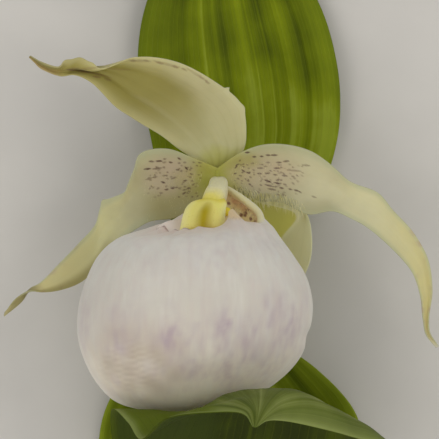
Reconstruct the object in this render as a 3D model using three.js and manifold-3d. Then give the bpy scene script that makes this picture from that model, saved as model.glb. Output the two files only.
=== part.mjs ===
// A slipper orchid: one cut flowering stem that lies on its back, its flower facing up (+Z).
// Millimetres. The stem runs along +Y; the origin is on the flat spot under its cut end.
import * as THREE from "three";
import { mergeVertices } from "three/addons/utils/BufferGeometryUtils.js";
import Module from "manifold-3d";

const wasm = await Module();
wasm.setup();

// Driving sizes
const bladeThickness = 0.8;
const petalThickness = 0.75;
const pouchWall = 0.95;
const seatGap = 0.3;
const stemRadius = 2.8;
const stemTopRadius = 2.3;
const stemAxisHeight = 4.5;
const cutEnd = -14;
const stemTop = 121.6;
const bloomCentre = new THREE.Vector3(0, 150, 30);

const twoPi = Math.PI * 2;
const vec = (x, y, z) => new THREE.Vector3(x, y, z);

// A smooth line through a few points; every point is one even step of the parameter.
function smoothLine(points) {
  return new THREE.CatmullRomCurve3(points.map((p) => vec(...p)), false, "centripetal");
}

// One number read along a list of numbers, from its start (0) to its end (1).
function readAlong(values, along) {
  const place = along * (values.length - 1);
  const step = Math.min(Math.floor(place), values.length - 2);
  return THREE.MathUtils.lerp(values[step], values[step + 1], place - step);
}

function solidFrom(points, triangles) {
  const solid = new THREE.BufferGeometry();
  const numbers = points.flatMap((point) => point.toArray());
  solid.setAttribute("position", new THREE.Float32BufferAttribute(numbers, 3));
  solid.setIndex(triangles.flat());
  return solid;
}

// The middle surface of a leaf, sepal or petal: lines that run from base to tip, the first and
// the last its two edges, joined by a smooth line across them. A relief lifts each point along
// the surface's own normal. "across" goes from -1 to 1, "along" from 0 to 1.
function bladeSurface({ rails, relief = () => 0 }) {
  const lines = rails.map(smoothLine);
  const bare = (across, along) => {
    const stations = lines.map((line) => line.getPoint(THREE.MathUtils.clamp(along, 0, 1)));
    const crossLine = new THREE.CatmullRomCurve3(stations, false, "catmullrom", 0.5);
    const inside = THREE.MathUtils.clamp(across, -1, 1);
    const point = crossLine.getPoint((inside + 1) / 2);
    return point.addScaledVector(crossLine.getTangent((inside + 1) / 2), across - inside);
  };
  const normalOf = (surface, across, along) => {
    const step = 0.004;
    const sideways = surface(across + step, along).sub(surface(across - step, along));
    const from = Math.max(along - step, 0);
    const to = Math.min(along + step, 1);
    return sideways.cross(surface(across, to).sub(surface(across, from))).normalize();
  };
  const lifted = (across, along) =>
    bare(across, along).addScaledVector(normalOf(bare, across, along), relief(across, along));
  return { pointAt: lifted, normalAt: (across, along) => normalOf(lifted, across, along) };
}

// A closed blade of even thickness round the middle surface.
function blade({ thickness, columns, rows, ...shape }) {
  const surface = bladeSurface(shape);
  const face = [];
  const back = [];
  for (let row = 0; row <= rows; row++) {
    for (let column = 0; column <= columns; column++) {
      const across = (column / columns) * 2 - 1;
      const point = surface.pointAt(across, row / rows);
      const normal = surface.normalAt(across, row / rows);
      face.push(point.clone().addScaledVector(normal, thickness / 2));
      back.push(point.clone().addScaledVector(normal, -thickness / 2));
    }
  }
  const width = columns + 1;
  const under = face.length;
  const triangles = [];
  for (let row = 0; row < rows; row++) {
    for (let column = 0; column < columns; column++) {
      const a = row * width + column;
      const [b, c, d] = [a + 1, a + width + 1, a + width];
      triangles.push([a, b, c], [a, c, d]);
      triangles.push([under + a, under + c, under + b], [under + a, under + d, under + c]);
    }
  }
  const wall = (a, b) => triangles.push([b, a, under + a], [b, under + a, under + b]);
  for (let column = 0; column < columns; column++) {
    wall(column, column + 1);
    wall(rows * width + column + 1, rows * width + column);
  }
  for (let row = 0; row < rows; row++) {
    wall((row + 1) * width, row * width);
    wall(row * width + columns, (row + 1) * width + columns);
  }
  return solidFrom([...face, ...back], triangles);
}

// A round stalk along a smooth line, with a radius read along it and a rib relief round it.
function stalk({ line, radii, steps, sides, grow = 0, ribs = 0, ribHeight = 0 }) {
  const path = smoothLine(line);
  const sidewaysAxis = vec(1, 0, 0);
  const points = [];
  for (let step = 0; step <= steps; step++) {
    const along = step / steps;
    const ahead = path.getTangent(along);
    const lengthened = step === 0 ? -grow : step === steps ? grow : 0;
    const centre = path.getPoint(along).addScaledVector(ahead, lengthened);
    const upward = sidewaysAxis.clone().cross(ahead).normalize();
    const sideways = ahead.clone().cross(upward).normalize();
    for (let side = 0; side < sides; side++) {
      const turn = (side / sides) * twoPi;
      const ribbed = ribHeight * Math.cos(turn * ribs) * Math.sin(Math.PI * along);
      const radius = readAlong(radii, along) + ribbed + grow;
      const point = centre.clone().addScaledVector(sideways, radius * Math.cos(turn));
      points.push(point.addScaledVector(upward, radius * Math.sin(turn)));
    }
  }
  const start = points.length;
  const end = start + 1;
  points.push(path.getPoint(0).addScaledVector(path.getTangent(0), -grow));
  points.push(path.getPoint(1).addScaledVector(path.getTangent(1), grow));
  const triangles = [];
  for (let side = 0; side < sides; side++) {
    const next = (side + 1) % sides;
    for (let step = 0; step < steps; step++) {
      const a = step * sides + side;
      const b = step * sides + next;
      triangles.push([a, b + sides, b], [a, a + sides, b + sides]);
    }
    triangles.push([start, side, next], [end, steps * sides + next, steps * sides + side]);
  }
  return solidFrom(points, triangles);
}

// Joining and cutting of closed bodies
function bodyOf(geometry) {
  const bare = geometry.clone();
  bare.deleteAttribute("normal");
  bare.deleteAttribute("uv");
  const merged = mergeVertices(bare, 1e-4);
  const numbers = { numProp: 3, vertProperties: new Float32Array(merged.attributes.position.array) };
  numbers.triVerts = new Uint32Array(merged.index.array);
  return new wasm.Manifold(new wasm.Mesh(numbers));
}

// What is left of a body once its neighbours are taken out of it: the largest piece.
function clearOf(geometry, neighbours) {
  let body = bodyOf(geometry);
  for (const neighbour of neighbours) body = body.subtract(bodyOf(neighbour));
  const pieces = body.decompose().sort((a, b) => b.volume() - a.volume());
  const mesh = pieces[0].getMesh();
  const cut = new THREE.BufferGeometry();
  cut.setAttribute("position", new THREE.Float32BufferAttribute(mesh.vertProperties, 3));
  cut.setIndex([...mesh.triVerts]);
  return cut;
}

const plant = new THREE.Group();
plant.name = "cypripedium_orchid";
const bloom = new THREE.Group();
bloom.name = "bloom";
bloom.position.copy(bloomCentre);
plant.add(bloom);

function addPiece(owner, name, geometry, color, roughness) {
  const material = new THREE.MeshStandardMaterial({ color, roughness, metalness: 0 });
  material.flatShading = true;
  const mesh = new THREE.Mesh(geometry, material);
  mesh.name = name;
  owner.add(mesh);
}

// Pleats that run from base to tip, and an edge that waves up and down along its length
function leafRelief({ pleatCount, pleatDepth, waveCount = 0, waveHeight = 0 }) {
  return (across, along) => {
    const pleat = pleatDepth * Math.cos(across * Math.PI * pleatCount);
    const wave = waveHeight * Math.abs(across) ** 4 * Math.sin(twoPi * (waveCount * along + 0.2 * across));
    return (pleat + wave) * Math.sin(Math.PI * Math.min(1, 0.06 + along));
  };
}

// Stem
const stemShape = {
  line: [
    [0, cutEnd, 2.5],
    [0, 4, 2.5],
    [0, 18, stemAxisHeight],
    [0, 60, stemAxisHeight],
    [0, 92, stemAxisHeight],
    [0, stemTop, stemAxisHeight],
  ],
  radii: [stemRadius, stemRadius, stemRadius, 2.6, 2.45, stemTopRadius],
  steps: 14,
  sides: 14,
};
const floorBlock = new THREE.BoxGeometry(60, 400, 20);
floorBlock.translate(0, 0, -10);
const stem = clearOf(stalk(stemShape), [floorBlock]);
addPiece(plant, "stem", stem, 0x6d7a30, 0.55);
const grownStem = stalk({ ...stemShape, grow: seatGap });

// Ovary, from the top of the stem up to the flower
const ovaryShape = {
  line: [
    [0, 122.2, 4.6],
    [0, 131, 7.6],
    [0, 139, 13.8],
    [0, 145, 21],
    [0, 148.6, 27.2],
  ],
  radii: [2.2, 2.8, 3.2, 2.9, 2.1],
  steps: 9,
  sides: 24,
  ribs: 6,
  ribHeight: 0.28,
};
const ovary = stalk(ovaryShape);
addPiece(plant, "ovary", clearOf(ovary, [grownStem]), 0x74803a, 0.6);
const grownOvary = stalk({ ...ovaryShape, grow: seatGap });

// Broad leaf behind the pouch; its back lies on the table under the stem
const leafBack = blade({
  rails: [
    [
      [-3.4, 17.7, 5],
      [-14.5, 29, 4.2],
      [-23.9, 44.4, 2.4],
      [-29.1, 61, 1.4],
      [-30.1, 77.7, 3.2],
      [-28.4, 90.3, 5.6],
      [-22.8, 100.2, 6],
      [-13.5, 107.4, 4],
      [-3.8, 112.6, 2.4],
    ],
    [
      [0, 17.3, 0.95],
      [0, 28.7, 0.95],
      [0, 44.3, 0.95],
      [0, 61, 0.95],
      [0, 77.6, 0.95],
      [0, 90.1, 0.95],
      [-0.5, 99.5, 1],
      [-1.1, 107.8, 1.2],
      [-3.1, 113, 2.4],
    ],
    [
      [3.4, 17.7, 5],
      [14.5, 29, 4],
      [24.9, 44.4, 2.2],
      [32.2, 61, 1.4],
      [35.9, 77.8, 3.4],
      [34.4, 90.3, 6],
      [25.5, 100.7, 6.2],
      [12.4, 108.9, 4],
      [-2.5, 112.8, 2.4],
    ],
  ],
  relief: leafRelief({ pleatCount: 4, pleatDepth: 0.55, waveCount: 3, waveHeight: 0.7 }),
  thickness: bladeThickness,
  columns: 24,
  rows: 12,
});
addPiece(plant, "leaf_back", clearOf(leafBack, [grownStem]), 0x55611a, 0.6);

// Leaf that rises in front of the pouch, folds over and points its tip at the viewer
const leafFront = blade({
  rails: [
    [
      [-3.3, 38.3, 4],
      [-13.4, 51.5, 13],
      [-21.4, 66.8, 27],
      [-25, 82.5, 43],
      [-25.1, 94, 56],
      [-21.2, 91, 64],
      [-18.3, 87.3, 69],
      [-12.3, 92.3, 76],
      [-1.8, 94, 82],
      [5.8, 93.7, 86],
      [8, 90.9, 90],
    ],
    [
      [-1.7, 38.6, 7.2],
      [-5.7, 52.6, 14],
      [-8.7, 67.8, 27],
      [-9.4, 82.4, 42],
      [-6.4, 91.4, 55],
      [-5, 93.9, 62],
      [-3.8, 94.2, 68],
      [-1.2, 94.8, 75],
      [2.3, 96, 80],
      [7.1, 94.3, 85.4],
      [8.3, 90.8, 90.2],
    ],
    [
      [0, 38.7, 8.2],
      [2, 53.8, 16],
      [4.6, 68.9, 28],
      [7, 83.8, 42],
      [8.9, 93.9, 54],
      [9.8, 98.2, 62],
      [10.1, 98.9, 68],
      [10.1, 98.1, 74],
      [9.9, 96.4, 80],
      [9.4, 93.9, 85.5],
      [8.5, 90.7, 90.4],
    ],
    [
      [1.6, 38.6, 7.2],
      [9.2, 51.6, 14],
      [18.3, 64.7, 25],
      [26.2, 76.6, 38],
      [28.8, 86.8, 51],
      [29.2, 92.1, 60],
      [26, 95.1, 67],
      [19.9, 97.5, 73],
      [14.5, 96.4, 79.6],
      [11.2, 93.7, 85.6],
      [8.8, 90.8, 90.2],
    ],
    [
      [3.3, 38.3, 4],
      [18.6, 47.2, 11],
      [34.7, 58.3, 22],
      [45.4, 69.4, 35],
      [48.4, 78.2, 48],
      [44, 83.7, 59],
      [33.9, 87.1, 68],
      [24, 89.9, 74],
      [15.5, 91.8, 80],
      [11.2, 92, 86],
      [9.1, 90.9, 90],
    ],
  ],
  relief: leafRelief({ pleatCount: 4, pleatDepth: 0.4 }),
  thickness: bladeThickness,
  columns: 24,
  rows: 19,
});
addPiece(plant, "leaf_front", clearOf(leafFront, [grownStem]), 0x66713a, 0.5);

// Leafy bract behind the flower
const bract = blade({
  rails: [
    [
      [-3.1, 118.8, 5.4],
      [-8.8, 130.7, 0.85],
      [-13.9, 145.2, 4.6],
      [-16.9, 159.8, 4.6],
      [-19.5, 172.2, 5],
      [-19.7, 182.5, 5.4],
      [-18, 191.9, 5.4],
      [-13.9, 202.3, 5],
      [-7.1, 212.7, 5.6],
      [1.6, 222.1, 5.8],
    ],
    [
      [0, 118.7, 1.2],
      [3.1, 130.7, 0.85],
      [7.3, 145.3, 0.9],
      [10, 158.8, 0.9],
      [9.1, 171.3, 0.9],
      [7.3, 181.7, 0.9],
      [5.2, 192.1, 0.9],
      [3.7, 202.5, 1.4],
      [2.7, 212.9, 2.8],
      [2.3, 222.5, 5.6],
    ],
    [
      [3.1, 118.8, 5.4],
      [13.5, 129.7, 5],
      [24.3, 143.2, 4.8],
      [29.4, 157.7, 4.8],
      [30.4, 169.1, 5.2],
      [29.2, 179.4, 5.6],
      [25.9, 190.4, 5.6],
      [19.7, 201.8, 5],
      [11.4, 212.7, 5.4],
      [2.9, 222.1, 5.8],
    ],
  ],
  relief: leafRelief({ pleatCount: 5, pleatDepth: 0.55, waveCount: 2, waveHeight: 0.5 }),
  thickness: bladeThickness,
  columns: 26,
  rows: 13,
});
addPiece(plant, "bract", clearOf(bract, [grownStem, grownOvary]), 0x5d6a18, 0.6);

// Upper sepal: hooded, bent to the left, its upper edge curled near the tip
const dorsalSepal = blade({
  rails: [
    [
      [-1.6, -0.2, -0.9],
      [-5.6, 3.1, -1.2],
      [-9.4, 5.6, -0.4],
      [-14.4, 9.4, 2.2],
      [-20.1, 12.8, 3.6],
      [-25.6, 16.8, 5.4],
      [-30.7, 21.9, 7.4],
      [-35, 23.4, 8.6],
      [-39, 23.5, 9.8],
      [-42.3, 24.9, 11.4],
      [-45.3, 27.4, 13],
    ],
    [
      [0, -0.3, -0.9],
      [0.6, 5.3, -1.8],
      [-1.2, 8.9, -2],
      [-5.1, 13.8, -1.8],
      [-10.2, 18.4, -1.2],
      [-17.8, 22.6, 0.6],
      [-25.7, 25.6, 3.4],
      [-31.9, 25.3, 6],
      [-37.2, 25.6, 8.6],
      [-41.8, 25.3, 10.6],
      [-45.4, 27.7, 13],
    ],
    [
      [1.6, -0.2, -0.9],
      [6.1, 5.2, -1],
      [6.9, 9.7, 0.2],
      [5.9, 16.1, 2],
      [0.6, 22.4, 3.4],
      [-9.1, 26.7, 5],
      [-20.2, 28.4, 7],
      [-28.3, 26.5, 9.4],
      [-34.5, 27.9, 10.4],
      [-40.7, 26, 11.4],
      [-45.1, 28, 13],
    ],
  ],
  thickness: petalThickness,
  columns: 10,
  rows: 24,
});
addPiece(bloom, "dorsal_sepal", dorsalSepal, 0x9a9365, 0.5);

// Joined lower sepals, hanging behind the pouch
const synsepal = blade({
  rails: [
    [
      [-1.4, -2.4, -1.2],
      [-5, -6.6, -2.4],
      [-9.6, -12, -5.6],
      [-12.6, -20, -8.4],
      [-11.4, -28, -9.8],
      [-6, -35, -10.4],
      [1.4, -40, -10.6],
    ],
    [
      [0.2, -2.6, -1],
      [1.6, -6.6, -3],
      [4.2, -12, -7.4],
      [5.4, -19.6, -10.6],
      [5.4, -28, -11.6],
      [4.4, -35, -11.6],
      [2.4, -40.6, -11],
    ],
    [
      [1.4, -2.5, -1.2],
      [9, -6.8, -4.4],
      [19.2, -10.2, -6.4],
      [15.4, -16.4, -9.4],
      [13.4, -24.6, -11],
      [9.4, -34.4, -11.4],
      [3, -40.2, -10.8],
    ],
    [
      [1.8, -2.4, -1.2],
      [11, -6.4, -3.6],
      [20.6, -9, -4.6],
      [22, -16, -6],
      [20.8, -23.8, -8],
      [13, -34, -10],
      [3.4, -40, -10.6],
    ],
  ],
  thickness: petalThickness,
  columns: 8,
  rows: 12,
});

// Left petal: broad spotted base, then a twisted band that passes behind the pouch
const petalLeft = blade({
  rails: [
    [
      [-1, -1.9, 0.2],
      [-6.5, -6.3, -0.6],
      [-10.5, -11, -0.4],
      [-16.5, -11.9, 0.8],
      [-20.3, -14, 1.2],
      [-23.8, -16.7, 0.6],
      [-27.4, -20.5, -0.6],
      [-30.5, -24.2, -1.4],
      [-33.7, -26.9, -1.6],
      [-38.3, -28.6, -0.6],
      [-42.7, -29.1, 1],
      [-45.6, -28.7, 2.6],
      [-48.1, -30.4, 3.6],
      [-51.7, -34.2, 4.2],
    ],
    [
      [-1, -0.5, 0.2],
      [-6.9, -1, -1],
      [-12.2, -2.3, -1.8],
      [-17.7, -3.5, -1.6],
      [-21.3, -6.7, -1.2],
      [-24, -10.6, -1.2],
      [-27.4, -14, -1.4],
      [-30.1, -18.5, -1.6],
      [-33.9, -22.2, -1.2],
      [-38.5, -25.6, -0.2],
      [-43, -27.9, 0.8],
      [-45.8, -28.6, 1.8],
      [-48.1, -30.8, 2.8],
      [-51.9, -34.5, 4.2],
    ],
    [
      [-1, 0.9, 0.2],
      [-6.8, 3.9, 1.6],
      [-12.7, 5.8, 1.4],
      [-19, 4.6, 1.2],
      [-20.8, 0.2, 0.4],
      [-23.3, -4.7, -0.4],
      [-28.1, -7.4, -1],
      [-29.9, -12.7, -1],
      [-34.1, -17.4, -0.4],
      [-38.9, -22.4, 0.4],
      [-43.3, -26.8, 0.8],
      [-45.8, -28.3, 0.8],
      [-48.2, -31.3, 1.8],
      [-52, -34.8, 4.2],
    ],
  ],
  thickness: petalThickness,
  columns: 8,
  rows: 26,
});
addPiece(bloom, "petal_left", petalLeft, 0xa59c78, 0.5);

// Right petal: broad spotted base, then a long drooping band
const petalRight = blade({
  rails: [
    [
      [1, 0.9, 0.2],
      [5.5, 4.9, 1.6],
      [10.7, 6.7, 1.6],
      [17, 6.7, 1.8],
      [22.4, 5.2, 2],
      [27.2, 2.1, 2],
      [32.1, -2.1, 1.6],
      [38.9, -4.9, 0.6],
      [42.6, -9.1, 0],
      [47.5, -14.4, -0.8],
      [51.2, -21.1, -1.8],
      [52.3, -28.7, -2.6],
      [51.5, -35.4, -3],
      [51.8, -39.1, -3],
      [53.8, -42.3, -3],
    ],
    [
      [1, -0.5, 0.2],
      [5.9, 0.8, -1],
      [10.6, 0.4, -2],
      [16.2, -0.2, -2],
      [22.3, -2.3, -1.4],
      [27.8, -3.7, -0.4],
      [32.6, -6.7, 0],
      [38.1, -9.6, -0.4],
      [41.8, -13, -1],
      [46.3, -17.9, -1.8],
      [49.4, -22.8, -2.6],
      [50.8, -29.5, -3.2],
      [50.7, -35.4, -3.6],
      [51.2, -39.2, -3.4],
      [53.6, -42.6, -3.2],
    ],
    [
      [1, -1.9, 0.2],
      [6.2, -3.4, -0.6],
      [10.1, -6.7, -0.8],
      [15.4, -7.3, -0.6],
      [21.9, -10.1, 1.4],
      [28.1, -9.4, 2],
      [33, -11.4, 1.4],
      [37, -13.9, 0.4],
      [40.6, -16.9, -0.4],
      [44.9, -21.2, -1.2],
      [47.6, -24.8, -2],
      [49.4, -30.5, -2.6],
      [49.9, -35.5, -3],
      [50.6, -39.4, -3],
      [53.3, -42.7, -3.2],
    ],
  ],
  thickness: petalThickness,
  columns: 8,
  rows: 26,
});
addPiece(bloom, "petal_right", petalRight, 0xaba483, 0.5);

// Column, leaning forward and down from the middle of the flower
const columnShape = {
  line: [
    [0, -0.6, 1.9],
    [-0.4, -3.4, 6],
    [-1.2, -6.8, 11],
  ],
  radii: [2.1, 2.35, 2.6],
  steps: 6,
  sides: 16,
};
const column = stalk(columnShape);
addPiece(bloom, "column", column, 0xc0ba8f, 0.5);
const grownColumn = stalk({ ...columnShape, grow: seatGap });

// Staminode: a grooved shield at the end of the column
const staminode = blade({
  rails: [
    [
      [-3.8, -6.6, 10.6],
      [-7, -8, 12.2],
      [-8.6, -10.6, 14],
      [-8.9, -12.6, 15.4],
      [-7.6, -13.4, 16],
    ],
    [
      [-1.5, -6.2, 12.4],
      [-2.2, -8.2, 14.4],
      [-2.8, -10.4, 16],
      [-3.2, -12.2, 17],
      [-3.3, -13.3, 17.4],
    ],
    [
      [1.2, -6.4, 11],
      [1.8, -8.4, 12.6],
      [2.2, -10.6, 14.4],
      [1.6, -12.4, 15.6],
      [0.2, -13.2, 16.2],
    ],
  ],
  relief: (across) => -0.6 * Math.exp(-((across / 0.18) ** 2)),
  thickness: 1.4,
  columns: 12,
  rows: 7,
});
addPiece(bloom, "staminode", clearOf(staminode, [grownColumn]), 0xbcb060, 0.4);

// Lip: a hollow pouch. Rings from the mouth down to the bottom, each a level of an egg shape.
const mouthRing = [
  [-3, -12.8, 21],
  [0.6, -12.3, 20],
  [3.2, -9.2, 16.6],
  [5.6, -11.3, 17.4],
  [9.6, -12, 14.4],
  [10.6, -10.2, 11.4],
  [9.4, -7.6, 8.4],
  [5.4, -4.6, 4.8],
  [1.2, -2.8, 1.2],
  [-3, -4.8, 3.4],
  [-6.4, -7.8, 7.2],
  [-9.6, -10.2, 10.6],
  [-12.6, -11.4, 13.4],
  [-14.2, -13.2, 16.6],
  [-11.4, -13.5, 19],
  [-7.4, -13.3, 20.6],
];
const shoulderRing = [
  [-3.5, -13.4, 27],
  [5, -12.6, 25],
  [10.5, -12.7, 20],
  [12.6, -12.8, 13],
  [11, -11.5, 6],
  [7, -9.8, 0.8],
  [-0.5, -8.8, -1.6],
  [-8, -10.4, 0.6],
  [-13.5, -12.6, 5],
  [-17.5, -13.6, 12],
  [-16.5, -13.9, 20],
  [-11, -13.9, 25.5],
];
// y of the level, x of its centre, half width, z of its centre, half depth
const levels = [
  [-15.8, -4.4, 19.4, 14, 17.4],
  [-19.7, -5.2, 23.2, 14.6, 20],
  [-25.2, -5.1, 26.3, 15, 21.6],
  [-32, -5.3, 28.1, 15.2, 22],
  [-39.1, -5.9, 27.7, 15.4, 21.6],
  [-44.6, -6.3, 26, 15.4, 20.4],
  [-50.2, -7.5, 21.9, 15.4, 17.2],
  [-54.6, -8.8, 16.4, 15.4, 12.8],
  [-56.8, -9.6, 9.6, 15.4, 7.6],
];
const pouchFoot = [-9.8, -57.4, 15.4];

function pouch({ aroundCount, downCount, wall }) {
  const closedRing = (points) =>
    new THREE.CatmullRomCurve3(points.map((p) => vec(...p)), true, "centripetal");
  const mouth = closedRing(mouthRing);
  const shoulder = closedRing(shoulderRing);
  const columnOf = (turn) => {
    const points = [mouth.getPoint(turn), shoulder.getPoint(turn)];
    for (const [y, x, halfWidth, z, halfDepth] of levels) {
      const angle = turn * twoPi;
      points.push(vec(x + halfWidth * Math.sin(angle), y, z + halfDepth * Math.cos(angle)));
    }
    points.push(vec(...pouchFoot));
    return new THREE.CatmullRomCurve3(points, false, "centripetal");
  };
  const outer = [];
  for (let around = 0; around < aroundCount; around++) {
    const line = columnOf(around / aroundCount);
    outer.push(Array.from({ length: downCount }, (_, down) => line.getPoint(down / downCount)));
  }
  const inner = outer.map((line, around) => {
    const before = outer[(around + aroundCount - 1) % aroundCount];
    const after = outer[(around + 1) % aroundCount];
    return line.map((point, down) => {
      const above = line[Math.max(down - 1, 0)];
      const below = line[down + 1] ?? vec(...pouchFoot);
      const inward = after[down].clone().sub(before[down]).cross(below.clone().sub(above)).normalize();
      return point.clone().addScaledVector(inward, wall);
    });
  });
  const points = [];
  for (let down = 0; down < downCount; down++) {
    for (let around = 0; around < aroundCount; around++) points.push(outer[around][down]);
  }
  const foot = points.length;
  points.push(vec(...pouchFoot));
  const innerStart = points.length;
  for (let down = 0; down < downCount; down++) {
    for (let around = 0; around < aroundCount; around++) points.push(inner[around][down]);
  }
  const innerFoot = points.length;
  points.push(vec(pouchFoot[0], pouchFoot[1] + wall, pouchFoot[2]));
  const triangles = [];
  for (let around = 0; around < aroundCount; around++) {
    const next = (around + 1) % aroundCount;
    for (let down = 0; down < downCount - 1; down++) {
      const a = down * aroundCount + around;
      const b = down * aroundCount + next;
      const [c, d] = [b + aroundCount, a + aroundCount];
      triangles.push([a, c, b], [a, d, c]);
      const up = innerStart;
      triangles.push([up + a, up + b, up + c], [up + a, up + c, up + d]);
    }
    const last = (downCount - 1) * aroundCount;
    triangles.push([last + around, foot, last + next]);
    triangles.push([innerStart + last + around, innerStart + last + next, innerFoot]);
    triangles.push([around, next, innerStart + next], [around, innerStart + next, innerStart + around]);
  }
  return solidFrom(points, triangles);
}
const lip = pouch({ aroundCount: 36, downCount: 18, wall: pouchWall });
addPiece(bloom, "lip", clearOf(lip, [grownColumn]), 0xb6b1a5, 0.5);

const ovaryInBloom = grownOvary.clone();
ovaryInBloom.translate(-bloomCentre.x, -bloomCentre.y, -bloomCentre.z);
addPiece(bloom, "synsepal", clearOf(synsepal, [ovaryInBloom]), 0x8a8545, 0.5);

export default plant;
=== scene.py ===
import math
import random

import bmesh
import bpy
import numpy as np
from mathutils import Matrix, Vector, noise


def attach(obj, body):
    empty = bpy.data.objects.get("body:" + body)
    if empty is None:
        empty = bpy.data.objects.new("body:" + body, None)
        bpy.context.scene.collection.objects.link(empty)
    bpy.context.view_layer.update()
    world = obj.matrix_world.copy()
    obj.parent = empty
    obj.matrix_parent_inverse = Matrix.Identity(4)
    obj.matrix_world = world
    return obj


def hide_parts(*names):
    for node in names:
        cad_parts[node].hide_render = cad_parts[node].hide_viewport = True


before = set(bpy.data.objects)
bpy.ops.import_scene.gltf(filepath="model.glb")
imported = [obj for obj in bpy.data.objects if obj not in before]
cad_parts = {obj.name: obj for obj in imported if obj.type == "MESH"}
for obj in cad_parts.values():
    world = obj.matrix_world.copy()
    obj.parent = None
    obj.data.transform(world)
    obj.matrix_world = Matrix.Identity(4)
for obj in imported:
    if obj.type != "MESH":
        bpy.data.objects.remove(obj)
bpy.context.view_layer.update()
print("frame loaded")

mm = 0.001
bloom = np.array((0.0, 150.0, 30.0))    # middle of the flower, where every petal starts
bladeRest = 0.34    # the middle of a blade stays this far above the table, so its underside clears it
stalkRest = 0.03    # the flattened side of the stem, above the table
hairRest = 0.9      # no hair grows where the skin's outer side comes lower than this


# smooth lines through a few points

def spanPoint(before, start, end, after, part, even):
    # one span; even spacing, or spacing by the square root of the distances
    gaps = [np.ones((1, 1))] * 3
    if not even:
        pairs = ((before, start), (start, end), (end, after))
        gaps = [np.sqrt(np.linalg.norm(b - a, axis=-1, keepdims=True).clip(1e-6)) for a, b in pairs]
    first, middle, last = gaps
    leave = (start - before) / first - (end - before) / (first + middle) + (end - start) / middle
    arrive = (end - start) / middle - (after - start) / (middle + last) + (after - end) / last
    leave, arrive, w = leave * middle, arrive * middle, part[:, None]
    bend = 3 * (end - start) - 2 * leave - arrive
    twist = 2 * (start - end) + leave + arrive
    return start + leave * w + bend * w**2 + twist * w**3


def readStations(stations, place, even=False, closed=False):
    # stations: control points x samples x 3; place: 0 to 1 for each sample
    count = len(stations)
    if closed:
        spot = (place % 1.0) * count
        step = np.floor(spot).astype(int)
        rows = [(step + k) % count for k in (-1, 0, 1, 2)]
    else:
        ends = (2 * stations[:1] - stations[1:2], 2 * stations[-1:] - stations[-2:-1])
        stations = np.concatenate((ends[0], stations, ends[1]))
        spot = np.clip(place, 0, 1) * (count - 1)
        step = np.clip(np.floor(spot).astype(int), 0, count - 2)
        rows = [step + k for k in range(4)]
    each = np.arange(len(place))
    return spanPoint(*[stations[row, each] for row in rows], spot - step, even)


def readLine(points, place, closed=False):
    points = np.asarray(points, float)
    return readStations(np.repeat(points[:, None], len(place), axis=1), place, closed=closed)


def normalsOf(pointOf, u, v, wrapped=False, step=0.004):
    fromU, toU = u - step, u + step
    if not wrapped:
        fromU, toU = np.clip(fromU, -1, 1), np.clip(toU, -1, 1)
    sideways = pointOf(toU, v) - pointOf(fromU, v)
    forward = pointOf(u, np.clip(v + step, 0, 1)) - pointOf(u, np.clip(v - step, 0, 1))
    normal = np.cross(sideways, forward)
    return normal / np.linalg.norm(normal, axis=1, keepdims=True).clip(1e-9)


def roughField(points, size, seed):
    # smooth seeded noise, about -1 to 1, over points in mm or over a tuple of x, y and z
    if isinstance(points, tuple):
        points = np.stack(np.broadcast_arrays(*points), axis=1)
    shift = Vector((seed * 7.3, seed * 3.1, seed * 5.7))
    return np.array([noise.noise(Vector(p) / size + shift) for p in points])


def smoothStep(low, high, value):
    part = np.clip((value - low) / (high - low), 0, 1)
    return part * part * (3 - 2 * part)


def stretch(value, start, full, fade, end):
    # 1 between full and fade, 0 before the start and after the end
    return smoothStep(start, full, value) * smoothStep(end, fade, value)


def bell(value, middle, width):
    return np.exp(-((value - middle) / width) ** 2)


def fromOval(points, x, y, halfX, halfY):
    # 0 in the middle of an upright oval, 1 on its line
    return np.hypot((points[:, 0] - x) / halfX, (points[:, 1] - y) / halfY)


# meshes

def startGrid(columns, rows):
    # u runs -1 to 1 across, v runs 0 to 1 along
    bm = bmesh.new()
    bmesh.ops.create_grid(bm, x_segments=columns, y_segments=rows, size=1)
    bm.verts.index_update()
    flat = np.array([vertex.co[:2] for vertex in bm.verts])
    flat /= np.abs(flat).max(axis=0)
    return bm, flat[:, 0], (flat[:, 1] + 1) / 2


def shapeGrid(bm, points, u, v, readings, thin):
    # places the grid, keeps u and v as its UV map, each reading as an attribute
    surface = bm.loops.layers.uv.new("surface")
    deform = bm.verts.layers.deform.new()
    layers = {name: bm.verts.layers.float.new(name) for name in readings}
    for vertex in bm.verts:
        i = vertex.index
        vertex.co = points[i] * mm
        vertex[deform][0] = float(thin[i])
        for name, layer in layers.items():
            vertex[layer] = float(readings[name][i])
    for face in bm.faces:
        face.smooth = True
        for loop in face.loops:
            i = loop.vert.index
            loop[surface].uv = (u[i], v[i])


def makePiece(name, bm, materials, node):
    mesh = bpy.data.meshes.new(name)
    bm.to_mesh(mesh)
    bm.free()
    piece = bpy.data.objects.new(name, mesh)
    bpy.context.scene.collection.objects.link(piece)
    for material in materials:
        mesh.materials.append(material)
    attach(piece, "root")
    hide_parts(node)
    return piece


def giveThickness(piece, thickness, edgePart, offset, underMaterial=0):
    piece.vertex_groups.new(name="thin")    # weight 1 in the middle, 0 at the margins
    wall = piece.modifiers.new("thickness", "SOLIDIFY")
    wall.thickness = thickness * mm
    wall.offset = offset
    wall.vertex_group = "thin"
    wall.thickness_vertex_group = edgePart
    wall.material_offset = underMaterial
    wall.use_quality_normals = True


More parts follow.
